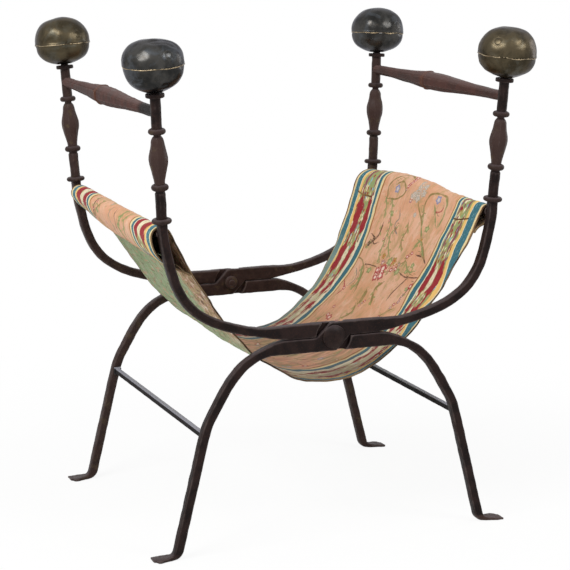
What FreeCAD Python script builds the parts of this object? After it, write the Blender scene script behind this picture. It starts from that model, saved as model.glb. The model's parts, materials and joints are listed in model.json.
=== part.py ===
"""Folding armchair of wrought iron with four hollow brass knobs and a hung cloth seat.

Two end frames, near (-Y) and far (+Y), each cross two forged bars at a riveted lap joint.
Every bar is a foot, a curved leg, a hub, a curved arm and a turned-looking post in one length.
The two bars that carry the left arms, with the rail, rod and stretcher between them, make one
rigid half of the chair. The other half is the same half turned by half a turn about the upright
axis, so each piece below is made once, for the left arms, and turned where it repeats.
Millimetres, +Z up, origin on the floor under the middle of the chair. X runs across the arms.
"""
import FreeCAD
import Part
import math
import os

Vector = FreeCAD.Vector

# Whole frame
frame_spacing = 493.0
pivot_height = 349.0
cut_overrun = 5.0

# Forged bars: square stock, swollen beside the rivet
bar_depth = 16.0
bar_width = 15.5
hub_width = 24.0
bar_edge = 1.6
lap_radius = 30.0
lap_clearance = 0.4
lap_gap = 0.3
stop_gap = 0.5
hub_shoulder = 5.5

# Arms, from the hub outwards and up to the lower ring
arm_level_run = 45.0
arm_flat_radius = 334.0
arm_taper_angle = 9.0
arm_flat_angle = 14.4
arm_bend_radius = 116.0
arm_bend_angle = 47.7
arm_rise_radius = 385.0
arm_lean = 3.5

# Legs, from the hub outwards and down to the floor
leg_level_run = 54.0
leg_bend_radius = 115.0
leg_taper_angle = 22.0
leg_bend_angle = 30.4
leg_lower_radius = 312.0
leg_lower_angle = 23.7

# Feet, bent outwards and hammered flat
heel_radius = 18.0
instep_radius = 9.0
toe_length = 35.0
toe_width = 31.0
toe_root_thickness = 7.5
toe_tip_thickness = 4.0
toe_slant = 6.0
toe_corner_radius = 7.0
toe_flare_share = 0.72

# Posts, measured along the post from the middle of the lower ring
post_width = 16.8
post_splay = 3.5
middle_ring_height = 54.4
upper_ring_height = 143.8
rail_height = 174.0
cap_height = 200.6
neck_width = 14.0
neck_length = 3.4
baluster_end_width = 17.0
baluster_width = 29.5
baluster_width_shares = (0.0, 0.16, 0.55, 0.90, 1.0, 0.84, 0.42, 0.06)
baluster_height_shares = (0.0, 0.12, 0.28, 0.42, 0.50, 0.64, 0.82, 1.0)

# Rings on the posts: overall width and height
lower_ring_width = 32.4
lower_ring_thickness = 8.0
middle_ring_width = 28.2
middle_ring_thickness = 10.5
upper_ring_width = 28.2
upper_ring_thickness = 9.4
cap_width = 30.2
cap_thickness = 6.6
cap_edge = 1.0

# Hollow knobs, two sheet shells closed by a thin band and held by a nut inside
knob_radius = 48.75
knob_upper_height = 46.5
knob_lower_height = 36.5
knob_lip = 1.1
knob_wall = 1.8
knob_upper_band = 6.0
knob_lower_band = 2.4
knob_upper_shoulder_share = 0.965
knob_lower_shoulder_share = 0.88
knob_seat_radius = 11.0
knob_seam_height = 1.0
knob_seam_recess = 0.35
knob_stem_width = 15.0
knob_stem_length = 2.0
knob_spigot_width = 10.0
knob_nut_thickness = 7.0
knob_nut_side_share = 0.92

# Arm rails between the tops of the posts
rail_end_width = 16.4
rail_middle_width = 31.0
rail_length_shares = (0.0, 0.14, 0.30, 0.42, 0.50, 0.58, 0.70, 0.86, 1.0)
rail_width_shares = (0.0, 0.08, 0.45, 0.90, 1.0, 0.90, 0.45, 0.08, 0.0)
rail_band_offset = 27.0
rail_band_width = 34.0
rail_band_thickness = 6.0

# Rods under the cloth, and stretchers between the legs
seat_rod_width = 16.0
seat_rod_drop = 22.5
stretcher_width = 9.6
stretcher_edge = 1.0
stretcher_height = 201.0
stretcher_shoulder_width = 13.0
stretcher_shoulder_length = 8.0

# Tenons of the rails, rods and stretchers
tenon_width = 8.0
tenon_length = 8.0
tenon_clearance = 0.05

# Pivot rivets
rivet_width = 12.0
rivet_clearance = 0.08
rivet_head_width = 36.0
rivet_head_height = 10.0
rivet_head_rim = 2.0
rivet_play = 0.15
rove_width = 22.0
rove_thickness = 3.6
rove_edge = 1.2
rivet_end = 1.0

# Cloth seat
cloth_thickness = 2.6
cloth_side_gap = 4.5
cloth_hang = 79.0
cloth_middle_sag = 4.0
cloth_edge_sag = 1.5
cloth_clearance = 0.3
cloth_fold_gap = 0.4
pocket_radius = 17.0
pocket_length = 59.0
pocket_bulge = 7.0
cloth_arc_shares = (0.0, 0.34, 0.62, 0.82, 1.0)


def heading_vector(degrees):
    """Unit direction in the frame's plane: outward, up."""
    angle = math.radians(degrees)
    return math.cos(angle), math.sin(angle)


def offset_point(station, side):
    """Point beside a station of a limb, on its left (+1) or right (-1) edge."""
    out, height, heading, half = station
    along = heading_vector(heading)
    return out - side * along[1] * half, height + side * along[0] * half


def trace_limb(height, heading, segments):
    """Stations of a limb as (start, middle, end) for each straight or curved segment."""
    station = (lap_radius, height, heading, hub_width / 2)
    traced = []
    for size, turn, half in segments:
        triple = [station]
        for share in (0.5, 1.0):
            width = station[3] + (half - station[3]) * share
            if turn == 0:
                along = heading_vector(station[2])
                place = (station[0] + along[0] * size * share, station[1] + along[1] * size * share)
                triple.append((*place, station[2], width))
            else:
                side = math.copysign(1, turn)
                first = heading_vector(station[2])
                last = heading_vector(station[2] + turn * share)
                out = station[0] + side * size * (last[1] - first[1])
                up = station[1] - side * size * (last[0] - first[0])
                triple.append((out, up, station[2] + turn * share, width))
        traced.append(triple)
        station = triple[-1]
    return traced


def limb_edge(traced, side, flip, plane):
    """Smooth curve along one edge of a limb, from the end of its level run."""
    stations = [traced[1][0]] + [station for triple in traced[1:] for station in triple[1:]]
    points = [flat_point(*offset_point(station, side), flip, plane) for station in stations]
    ends = []
    for station in (stations[0], stations[-1]):
        along = heading_vector(station[2])
        ends.append(Vector(flip * along[0], 0, along[1]))
    curve = Part.BSplineCurve()
    curve.interpolate(Points=points, InitialTangent=ends[0], FinalTangent=ends[1])
    return curve.toShape()


def flat_point(out, height, flip, plane):
    """Point of a frame's plane; flip -1 puts it on the left side."""
    return Vector(flip * out, plane, height)


def arm_path():
    """Stations of an arm, ending at the middle of the lower ring."""
    bar_half = bar_width / 2
    rise_angle = 90 - arm_lean - arm_taper_angle - arm_flat_angle - arm_bend_angle
    segments = (
        (arm_level_run, 0, hub_width / 2),
        (arm_flat_radius, arm_taper_angle, bar_half),
        (arm_flat_radius, arm_flat_angle, bar_half),
        (arm_bend_radius, arm_bend_angle, bar_half),
        (arm_rise_radius, rise_angle, bar_half),
    )
    return trace_limb(pivot_height + hub_offset(), 0, segments)


def leg_path():
    """Stations of a leg, ending where its last straight run to the floor starts."""
    bar_half = bar_width / 2
    segments = (
        (leg_level_run, 0, hub_width / 2),
        (leg_bend_radius, -leg_taper_angle, bar_half),
        (leg_bend_radius, -leg_bend_angle, bar_half),
        (leg_lower_radius, -leg_lower_angle, bar_half),
    )
    return trace_limb(pivot_height - hub_offset(), 0, segments)


def hub_offset():
    """Height between the rivet's axis and the middle of an arm or leg beside it."""
    return (hub_width + stop_gap) / 2


def meet_height(point, heading, height):
    """Where a line through a point reaches a height."""
    along = heading_vector(heading)
    return point[0] + (height - point[1]) * along[0] / along[1], height


def rounded_corner(before, corner, after, radius):
    """Start, middle and end of the arc that rounds a corner."""
    first = (Vector(*before, 0) - Vector(*corner, 0)).normalize()
    last = (Vector(*after, 0) - Vector(*corner, 0)).normalize()
    half_angle = first.getAngle(last) / 2
    reach = radius / math.tan(half_angle)
    inward = (first + last).normalize()
    origin = Vector(*corner, 0)
    middle = origin + inward * (radius / math.sin(half_angle) - radius)
    return [(p.x, p.y) for p in (origin + first * reach, middle, origin + last * reach)]


def foot_corners():
    """Outline points of a foot: heel arc, tip, instep arc, and the ends they join."""
    last = leg_path()[-1][-1]
    inner_start = offset_point(last, -1)
    outer_start = offset_point(last, 1)
    heel = meet_height(inner_start, last[2], 0)
    heel_arc = rounded_corner(inner_start, heel, (heel[0] + heel_radius, 0), heel_radius)
    toe_out = heel_arc[-1][0] + toe_length
    tip_top = (toe_out, toe_tip_thickness)
    instep = meet_height(outer_start, last[2], toe_root_thickness)
    instep_arc = rounded_corner(outer_start, instep, tip_top, instep_radius)
    return inner_start, heel_arc, (toe_out, 0), tip_top, instep_arc, outer_start


def foot_edges(plane):
    """Lines and arcs round a foot, in the frame's plane."""
    inner_start, heel_arc, tip_low, tip_top, instep_arc, outer_start = foot_corners()

    def line(first, last):
        return Part.LineSegment(flat_point(*first, 1, plane), flat_point(*last, 1, plane)).toShape()

    def arc(points):
        return Part.Arc(*[flat_point(*point, 1, plane) for point in points]).toShape()

    return [
        line(inner_start, heel_arc[0]),
        arc(heel_arc),
        line(heel_arc[-1], tip_low),
        line(tip_low, tip_top),
        line(tip_top, instep_arc[-1]),
        arc(instep_arc),
        line(instep_arc[0], outer_start),
    ]


def hub_edges(plane):
    """Edges that carry the bar across the rivet, from the arm's level run to the leg's."""
    arm = arm_path()[0]
    leg = leg_path()[0]
    arm_low = flat_point(*offset_point(arm[-1], -1), -1, plane)
    arm_top = flat_point(*offset_point(arm[-1], 1), -1, plane)
    leg_low = flat_point(*offset_point(leg[-1], -1), 1, plane)
    leg_top = flat_point(*offset_point(leg[-1], 1), 1, plane)
    upper = Vector(hub_shoulder, plane, arm_top.z)
    lower = Vector(-hub_shoulder, plane, leg_low.z)
    arm_corner = flat_point(*offset_point(arm[0], -1), -1, plane)
    leg_corner = flat_point(*offset_point(leg[0], 1), 1, plane)
    chains = ((arm_top, upper, leg_corner, leg_top), (arm_low, arm_corner, lower, leg_low))
    edges = []
    for chain in chains:
        edges += [Part.LineSegment(*pair).toShape() for pair in zip(chain, chain[1:])]
    return edges


def toe_plate(plane):
    """Flared flat toe: a plan outline cut to the toe's wedge profile."""
    _, heel_arc, tip_low, tip_top, _, _ = foot_corners()
    root = heel_arc[-1][0]
    out = tip_low[0]
    middle = root + (out - root) / 2
    narrow = bar_depth / 2
    wide = toe_width / 2
    flare = narrow + (wide - narrow) * toe_flare_share
    round_corner = rounded_corner((out, -wide), (out - toe_slant, wide), (root, wide), toe_corner_radius)

    def place(point):
        return Vector(point[0], plane + point[1], 0)

    near_side = Part.Arc(place((root, -narrow)), place((middle, -flare)), place((out, -wide)))
    tip = Part.LineSegment(place((out, -wide)), place(round_corner[0]))
    corner = Part.Arc(*[place(point) for point in round_corner])
    far_side = Part.Arc(place(round_corner[-1]), place((middle, flare)), place((root, narrow)))
    back = Part.LineSegment(place((root, narrow)), place((root, -narrow)))
    outline = Part.Wire([curve.toShape() for curve in (near_side, tip, corner, far_side, back)])
    plan = Part.Face(outline).extrude(Vector(0, 0, toe_root_thickness))
    wedge_points = [(root, 0), (out, 0), tip_top, (root, toe_root_thickness), (root, 0)]
    wedge_wire = Part.makePolygon([Vector(x, plane - toe_width, z) for x, z in wedge_points])
    wedge = Part.Face(wedge_wire).extrude(Vector(0, 2 * toe_width, 0))
    return plan.common(wedge)


def flat_bar(plane):
    """Arm, hub, leg and foot of one bar, before its post and its lap are made."""
    front = plane - bar_depth / 2
    arm = arm_path()
    leg = leg_path()
    edges = [limb_edge(arm, side, -1, front) for side in (1, -1)]
    edges += [limb_edge(leg, side, 1, front) for side in (1, -1)]
    top = [flat_point(*offset_point(arm[-1][-1], side), -1, front) for side in (1, -1)]
    edges.append(Part.LineSegment(*top).toShape())
    edges += hub_edges(front) + foot_edges(front)
    outline = Part.Wire(Part.__sortEdges__(edges))
    solid = Part.Face(outline).extrude(Vector(0, bar_depth, 0))
    long_edges = [edge for edge in solid.Edges if is_long_edge(edge, front)]
    return solid.makeChamfer(bar_edge, long_edges)


def is_long_edge(edge, front):
    """True for the edges along a bar's front and back, except round its foot and top."""
    ends = [vertex.Point for vertex in edge.Vertexes]
    if abs(ends[0].y - ends[-1].y) > bar_depth / 2:
        return False
    top = arm_path()[-1][-1][1]
    low = min(end.z for end in ends)
    high = max(end.z for end in ends)
    return low > toe_root_thickness and not (low > top - bar_width and high - low < bar_width)


def octagon(width, height):
    """Upright octagonal outline, flats facing along X and Y."""
    reach = width / 2 / math.cos(math.pi / 8)
    corners = []
    for step in range(9):
        angle = math.pi / 8 + step * math.pi / 4
        corners.append(Vector(reach * math.cos(angle), reach * math.sin(angle), height))
    return Part.makePolygon(corners)


def octagonal_bar(width, low, high):
    """Octagonal bar between two heights."""
    return Part.Face(octagon(width, low)).extrude(Vector(0, 0, high - low))


def post_core():
    """Post above the lower ring, standing on the origin along Z."""
    middle_under = middle_ring_height - middle_ring_thickness / 2
    upper_under = upper_ring_height - upper_ring_thickness / 2
    baluster_low = middle_ring_height + middle_ring_thickness / 2
    baluster_high = upper_under - neck_length
    rise = baluster_high - baluster_low
    swell = baluster_width - baluster_end_width
    sections = []
    for height_share, width_share in zip(baluster_height_shares, baluster_width_shares):
        width = baluster_end_width + swell * width_share
        sections.append(octagon(width, baluster_low + rise * height_share))
    cap_top = cap_height + cap_thickness / 2
    stem_top = cap_top + knob_stem_length
    pieces = [
        octagonal_bar(post_width, -lower_ring_thickness / 2, middle_under - neck_length),
        round_bar(neck_width, middle_under - neck_length, middle_ring_height),
        octagonal_bar(baluster_end_width, middle_under, baluster_low),
        Part.makeLoft(sections, True, False),
        round_bar(neck_width, baluster_high, upper_ring_height),
        octagonal_bar(post_width, upper_under, cap_height),
        round_bar(knob_stem_width, cap_height, stem_top),
        round_bar(knob_spigot_width, stem_top, stem_top + knob_wall + knob_nut_thickness),
    ]
    return pieces[0].fuse(pieces[1:]).removeSplitter()


def round_bar(width, low, high):
    """Round bar between two heights on the post's axis."""
    return Part.makeCylinder(width / 2, high - low, Vector(0, 0, low))


def post_placement(end):
    """Placement of a post on the left arm of the near (-1) or far (+1) frame."""
    foot = arm_path()[-1][-1]
    lean = math.tan(math.radians(arm_lean))
    splay = math.tan(math.radians(post_splay))
    axis = Vector(-lean, end * splay, 1)
    turn = FreeCAD.Rotation(Vector(0, 0, 1), axis)
    return FreeCAD.Placement(Vector(-foot[0], end * frame_spacing / 2, foot[1]), turn)


def on_post(shape, end):
    """Copy of a piece made along Z, put on the left post of one frame."""
    placed = shape.copy()
    placed.Placement = post_placement(end)
    return placed


def ring(width, thickness, height):
    """Solid ring with a half-round rim, to be bored by its bar."""
    half = thickness / 2
    rim = width / 2 - half
    points = (Vector(rim, 0, height - half), Vector(rim + half, 0, height), Vector(rim, 0, height + half))
    low = Vector(0, 0, height - half)
    high = Vector(0, 0, height + half)
    edges = [
        Part.LineSegment(low, points[0]).toShape(),
        Part.Arc(*points).toShape(),
        Part.LineSegment(points[2], high).toShape(),
        Part.LineSegment(high, low).toShape(),
    ]
    face = Part.Face(Part.Wire(edges))
    return face.revolve(Vector(0, 0, 0), Vector(0, 0, 1), 360)


def cap_disc():
    """Flat disc that closes the post under its knob, to be bored by its bar."""
    disc = round_bar(cap_width, cap_height - cap_thickness / 2, cap_height + cap_thickness / 2)
    rims = [edge for edge in disc.Edges if len(edge.Vertexes) == 1]
    return disc.makeChamfer(cap_edge, rims)


def shell_arcs(radius, height, band, shoulder_share, seat, wall):
    """Profile of half a knob from its rim to its pole: band, shoulder arc, crown arc.

    Heights grow away from the seam. The wall moves the profile inwards by that much."""
    rise = height - band
    shoulder = rise * shoulder_share
    offset = radius - shoulder
    crown = (offset ** 2 + rise ** 2 - shoulder ** 2) / (2 * (rise - shoulder))
    crown_middle = height - crown
    angle = math.atan2(band - crown_middle, offset)
    shoulder_size = shoulder - wall
    crown_size = crown - wall

    def round_shoulder(direction):
        return offset + shoulder_size * math.cos(direction), band + shoulder_size * math.sin(direction)

    def round_crown(direction):
        return crown_size * math.cos(direction), crown_middle + crown_size * math.sin(direction)

    seat_angle = math.acos(seat / crown_size)
    return (
        [(radius - wall, 0), (radius - wall, band)],
        [(radius - wall, band), round_shoulder(angle / 2), round_shoulder(angle)],
        [round_crown(angle), round_crown((angle + seat_angle) / 2), round_crown(seat_angle)],
    )


def profile_edges(groups, flip, level):
    """Edges of a knob's profile; flip -1 turns it downwards from its level."""
    edges = []
    for group in groups:
        points = [Vector(out, 0, level + flip * rise) for out, rise in group]
        if len(points) == 2:
            edges.append(Part.LineSegment(*points).toShape())
        else:
            edges.append(Part.Arc(*points).toShape())
    return edges


def knob_shell(radius, height, band, shoulder_share, flip, level, bore):
    """Half a hollow knob, with a flat bored seat where bore is given."""
    seat = knob_seat_radius if bore else 0
    outer = shell_arcs(radius, height, band, shoulder_share, seat, 0)
    inner = shell_arcs(radius, height, band, shoulder_share, seat, knob_wall)
    edges = profile_edges(outer, flip, level) + profile_edges(inner, flip, level)
    outer_end = outer[-1][-1]
    inner_end = inner[-1][-1]
    joins = [[outer[0][0], inner[0][0]]]
    if bore:
        joins += [[outer_end, (bore, outer_end[1])], [inner_end, (bore, inner_end[1])]]
        joins += [[(bore, outer_end[1]), (bore, inner_end[1])]]
    else:
        joins += [[outer_end, inner_end]]
    edges += profile_edges(joins, flip, level)
    face = Part.Face(Part.Wire(Part.__sortEdges__(edges)))
    return face.revolve(Vector(0, 0, 0), Vector(0, 0, 1), 360)


def knob_levels():
    """Heights along the post of the lower shell's inner seat and of the knob's seam."""
    seat = cap_height + cap_thickness / 2 + knob_stem_length
    radius = knob_radius - knob_lip
    depths = []
    for wall in (0, knob_wall):
        arcs = shell_arcs(
            radius, knob_lower_height, knob_lower_band, knob_lower_shoulder_share, knob_seat_radius, wall
        )
        depths.append(arcs[-1][-1][1])
    return seat + depths[0] - depths[1], seat + depths[0] + knob_seam_height / 2


def knob_top():
    """Upper shell of a knob, closed at its crown."""
    level = knob_levels()[1] + knob_seam_height / 2
    return knob_shell(knob_radius, knob_upper_height, knob_upper_band, knob_upper_shoulder_share, 1, level, 0)


def knob_bottom():
    """Lower shell of a knob, bored for the post's spigot."""
    level = knob_levels()[1] - knob_seam_height / 2
    radius = knob_radius - knob_lip
    bore = knob_spigot_width / 2 + tenon_clearance
    return knob_shell(radius, knob_lower_height, knob_lower_band, knob_lower_shoulder_share, -1, level, bore)


def knob_seam():
    """Thin band between the two shells of a knob."""
    level = knob_levels()[1] - knob_seam_height / 2
    origin = Vector(0, 0, level)
    outer = Part.makeCylinder(knob_radius - knob_seam_recess, knob_seam_height, origin)
    inner = Part.makeCylinder(knob_radius - knob_lip - knob_wall, knob_seam_height, origin)
    return outer.cut(inner)


def knob_nut():
    """Square nut on the spigot, inside the lower shell."""
    level = knob_levels()[0]
    half = knob_seat_radius * knob_nut_side_share / math.sqrt(2)
    block = Part.makeBox(2 * half, 2 * half, knob_nut_thickness, Vector(-half, -half, level))
    return block.cut(round_bar(knob_spigot_width + 2 * tenon_clearance, level, level + knob_nut_thickness))


def lap_cut(plane):
    """Disc that takes the front half of a left-arm bar away round its rivet."""
    back = plane + lap_gap / 2
    start = plane - bar_depth / 2 - cut_overrun
    return Part.makeCylinder(lap_radius + lap_clearance, back - start, Vector(0, start, pivot_height), Vector(0, 1, 0))


def rivet_bore(plane):
    """Round hole along the rivet's axis."""
    start = plane - bar_depth
    radius = rivet_width / 2 + rivet_clearance
    return Part.makeCylinder(radius, 2 * bar_depth, Vector(0, start, pivot_height), Vector(0, 1, 0))


def tenon_hole(out, height, plane, end):
    """Blind hole for a cross piece's tenon in the inner face of a bar."""
    face = plane - end * bar_depth / 2
    depth = tenon_length + tenon_clearance
    radius = tenon_width / 2 + tenon_clearance
    return Part.makeCylinder(radius, depth, Vector(out, face, height), Vector(0, end, 0))


def left_arm_bar(end):
    """Whole bar with the left arm and the right foot, near (-1) or far (+1)."""
    plane = end * frame_spacing / 2
    blank = flat_bar(plane).fuse([toe_plate(plane), on_post(post_core(), end)]).removeSplitter()
    rail_out, rail_up = rail_place(end)
    rod_out, rod_up = seat_rod_place()
    brace_out, brace_up = stretcher_place()
    holes = [
        rivet_bore(plane),
        tenon_hole(-rod_out, rod_up, plane, end),
        tenon_hole(brace_out, brace_up, plane, end),
        rail_tenon(end, tenon_clearance),
    ]
    return blank.cut([lap_cut(plane)] + holes)


def post_point(height, end):
    """Point on the axis of the left post, near (-1) or far (+1)."""
    return post_placement(end).multVec(Vector(0, 0, height))


def rail_place(end):
    """Distance out and height of the arm rail's axis."""
    middle = post_point(rail_height, end)
    return -middle.x, middle.z


def rail_tenon(end, clearance):
    """Tenon of the left arm rail in one post, grown by a clearance."""
    middle = post_point(rail_height, end)
    start = middle - Vector(0, end * post_width / 2, 0)
    reach = tenon_length + post_width / 4 + clearance
    inside = start - Vector(0, end * post_width / 4, 0)
    return Part.makeCylinder(tenon_width / 2 + clearance, reach, inside, Vector(0, end, 0))


def along_y(shape, out, height):
    """Piece made along Z from the origin, laid along +Y through a point of the frame's plane."""
    laid = shape.copy()
    laid.Placement = FreeCAD.Placement(Vector(out, 0, height), FreeCAD.Rotation(Vector(1, 0, 0), -90))
    return laid


def arm_rail(flip):
    """Swollen octagonal rail between the posts, left (-1) or right (+1)."""
    out, height = rail_place(1)
    half = post_point(rail_height, 1).y
    swell = rail_middle_width - rail_end_width
    sections = []
    for length_share, width_share in zip(rail_length_shares, rail_width_shares):
        sections.append(octagon(rail_end_width + swell * width_share, half * (2 * length_share - 1)))
    band_low = rail_band_offset - rail_band_thickness / 2
    band = octagonal_bar(rail_band_width, band_low, band_low + rail_band_thickness)
    rail = along_y(Part.makeLoft(sections, True, False).fuse(band), -out, height)
    posts = [on_post(post_core(), end) for end in (-1, 1)]
    rail = rail.cut(posts).fuse([rail_tenon(end, 0) for end in (-1, 1)])
    if flip == 1:
        return rail.mirror(Vector(0, 0, 0), Vector(1, 0, 0))
    return rail


def seat_rod_place():
    """Distance out and height of a seat rod, on the arm's last arc below the ring."""
    end = arm_path()[-1][-1]
    turn = math.degrees(seat_rod_drop / arm_rise_radius)
    first = heading_vector(end[2])
    last = heading_vector(end[2] - turn)
    return end[0] - arm_rise_radius * (first[1] - last[1]), end[1] + arm_rise_radius * (first[0] - last[0])


def stretcher_place():
    """Distance out and height of a stretcher, on the leg's lower arc."""
    start = leg_path()[-1][0]
    level, climb = heading_vector(start[2])
    level_there = level - (start[1] - stretcher_height) / leg_lower_radius
    climb_there = -math.sqrt(1 - level_there ** 2)
    return start[0] - leg_lower_radius * (climb_there - climb), stretcher_height


def tenoned_bar(body, out, height):
    """Cross piece between the inner faces of the two frames, with a tenon at each end."""
    half = (frame_spacing - bar_depth) / 2
    tenon = Part.makeCylinder(tenon_width / 2, 2 * (half + tenon_length), Vector(0, 0, -half - tenon_length))
    return along_y(body.fuse(tenon), out, height)


def seat_rod(flip):
    """Round rod that carries one side of the cloth."""
    half = (frame_spacing - bar_depth) / 2
    out, height = seat_rod_place()
    return tenoned_bar(round_bar(seat_rod_width, -half, half), flip * out, height)


def stretcher(flip):
    """Thin square bar between two legs, with a square shoulder at its far end."""
    half = (frame_spacing - bar_depth) / 2
    out, height = stretcher_place()
    body = Part.makeBox(
        stretcher_width, stretcher_width, 2 * half, Vector(-stretcher_width / 2, -stretcher_width / 2, -half)
    )
    body = body.makeChamfer(stretcher_edge, [edge for edge in body.Edges if edge.Length > half])
    shoulder = Part.makeBox(
        stretcher_shoulder_width, stretcher_shoulder_width, stretcher_shoulder_length,
        Vector(-stretcher_shoulder_width / 2, -stretcher_shoulder_width / 2, half - stretcher_shoulder_length),
    )
    return tenoned_bar(body.fuse(shoulder), flip * out, height)


def near_rivet():
    """Near pivot rivet, its domed head outside."""
    outer = -(frame_spacing + bar_depth) / 2 - rivet_play
    inner = -(frame_spacing - bar_depth) / 2 + rivet_play + rove_thickness + rivet_end
    radius = rivet_head_width / 2
    rim = outer - rivet_head_rim
    crown = outer - rivet_head_height
    rise = rim - crown
    sphere = (radius ** 2 + rise ** 2) / (2 * rise)
    angle = math.asin(radius / sphere) / 2
    middle = Vector(sphere * math.sin(angle), crown + sphere * (1 - math.cos(angle)), 0)
    points = (Vector(radius, rim, 0), middle, Vector(0, crown, 0))
    shank = rivet_width / 2
    chain = [
        Vector(0, crown, 0), Vector(0, inner, 0), Vector(shank, inner, 0),
        Vector(shank, outer, 0), Vector(radius, outer, 0), Vector(radius, rim, 0),
    ]
    edges = [Part.LineSegment(a, b).toShape() for a, b in zip(chain, chain[1:])]
    edges.append(Part.Arc(*points).toShape())
    face = Part.Face(Part.Wire(Part.__sortEdges__(edges)))
    solid = face.revolve(Vector(0, 0, 0), Vector(0, 1, 0), 360)
    solid.translate(Vector(0, 0, pivot_height))
    return solid


def near_rove():
    """Washer under the peened inner end of the near rivet."""
    start = -(frame_spacing - bar_depth) / 2 + rivet_play
    origin = Vector(0, start, pivot_height)
    disc = Part.makeCylinder(rove_width / 2, rove_thickness, origin, Vector(0, 1, 0))
    rim = [edge for edge in disc.Edges if len(edge.Vertexes) == 1 and edge.CenterOfMass.y > start + rove_thickness / 2]
    bore = Part.makeCylinder(rivet_width / 2 + tenon_clearance, rove_thickness, origin, Vector(0, 1, 0))
    return disc.makeChamfer(rove_edge, rim).cut(bore)


def catenary_scale(span, rise):
    """Scale of the hanging curve that climbs by rise over span."""
    low = span / 20
    high = span * 20
    for _ in range(80):
        middle = math.sqrt(low * high)
        if middle * (math.cosh(span / middle) - 1) > rise:
            low = middle
        else:
            high = middle
    return middle


def pocket_middle():
    """Middle of the round top of a pocket, under its rod."""
    out, height = seat_rod_place()
    slack = pocket_radius - cloth_thickness - seat_rod_width / 2 - cloth_clearance
    return out, height - slack


def cloth_point(low, x, offset):
    """Point of the hanging curve at a distance x from the middle fold, offset below it."""
    out, height = pocket_middle()
    scale = catenary_scale(out - pocket_radius, height - low)
    slope = math.sinh(x / scale)
    length = math.hypot(1, slope)
    rise = low + scale * (math.cosh(x / scale) - 1)
    return x + offset * slope / length, rise - offset / length


def cloth_curve(low, end, offset):
    """Points of the hanging curve from the middle fold out to x = end, two for each arc."""
    start = cloth_fold_gap / 2
    shares = [0.0]
    for first, last in zip(cloth_arc_shares, cloth_arc_shares[1:]):
        shares += [(first + last) / 2, last]
    points = [cloth_point(low, start + (end - start) * share, offset) for share in shares]
    points[0] = (start, points[0][1])
    return points


def curve_arcs(points, place):
    """Arcs through each three points of a curve."""
    arcs = []
    for first in range(0, len(points) - 2, 2):
        arcs.append(Part.Arc(*[place(point) for point in points[first:first + 3]]).toShape())
    return arcs


def pocket_tip_reach(low):
    """Distance from the middle fold at which the pocket's outer ply meets the cloth."""
    out, height = pocket_middle()
    rise = height + pocket_radius - pocket_length - low
    scale = catenary_scale(out - pocket_radius, height - low)
    return scale * math.acosh(1 + rise / scale)


def pocket_edges(low, plane, inset, tip):
    """Round top and outer side of a pocket down to a tip, moved inwards by an inset."""
    out, height = pocket_middle()
    radius = pocket_radius - inset
    quarter = radius * math.sin(math.pi / 4)
    right = (out + radius, height)
    bulge = pocket_bulge - inset / 2
    belly = ((right[0] + tip[0]) / 2 + bulge, (right[1] + tip[1]) / 2)
    arcs = (
        ((out - radius, height), (out - quarter, height + quarter), (out, height + radius)),
        ((out, height + radius), (out + quarter, height + quarter), right),
        (right, belly, tip),
    )
    return [Part.Arc(*[Vector(x, plane, z) for x, z in arc]).toShape() for arc in arcs]


def cloth_profile(low, plane):
    """Closed outline of half the cloth with its pocket, as seen along Y."""

    def place(point):
        return Vector(point[0], plane, point[1])

    out, _ = pocket_middle()
    top = cloth_curve(low, out - pocket_radius, 0)
    under = cloth_curve(low, pocket_tip_reach(low), cloth_thickness)
    edges = curve_arcs(top, place) + pocket_edges(low, plane, 0, under[-1]) + curve_arcs(under, place)
    edges.append(Part.LineSegment(place(top[0]), place(under[0])).toShape())
    return Part.Wire(Part.__sortEdges__(edges))


def cavity_profile(low, plane):
    """Closed outline of the room inside a pocket."""
    out, height = pocket_middle()
    first = pocket_tip_reach(low) + cloth_thickness
    last = out - pocket_radius
    tip = cloth_point(low, first, cloth_thickness)
    middle = cloth_point(low, (first + last) / 2, cloth_thickness)
    left = (out - pocket_radius + cloth_thickness, height)
    inner_side = Part.Arc(*[Vector(x, plane, z) for x, z in (tip, middle, left)]).toShape()
    return Part.Wire(Part.__sortEdges__([inner_side] + pocket_edges(low, plane, cloth_thickness, tip)))


def right_cloth():
    """Right half of the hung seat, lofted through three profiles, with a rod pocket."""
    half = (frame_spacing - bar_depth) / 2 - cloth_side_gap
    low = pivot_height - cloth_hang
    sections = ((-half, low - cloth_edge_sag), (0, low - cloth_middle_sag), (half, low))
    body = Part.makeLoft([cloth_profile(height, plane) for plane, height in sections], True, False)
    ends = (sections[0][1], sections[1][1], sections[2][1])
    planes = (-half - cut_overrun, 0, half + cut_overrun)
    cavity = Part.makeLoft([cavity_profile(height, plane) for plane, height in zip(planes, ends)], True, False)
    return body.cut(cavity)


def turned(shape):
    """Copy turned by half a turn about the upright axis."""
    copy = shape.copy()
    copy.rotate(Vector(0, 0, 0), Vector(0, 0, 1), 180)
    return copy


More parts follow.
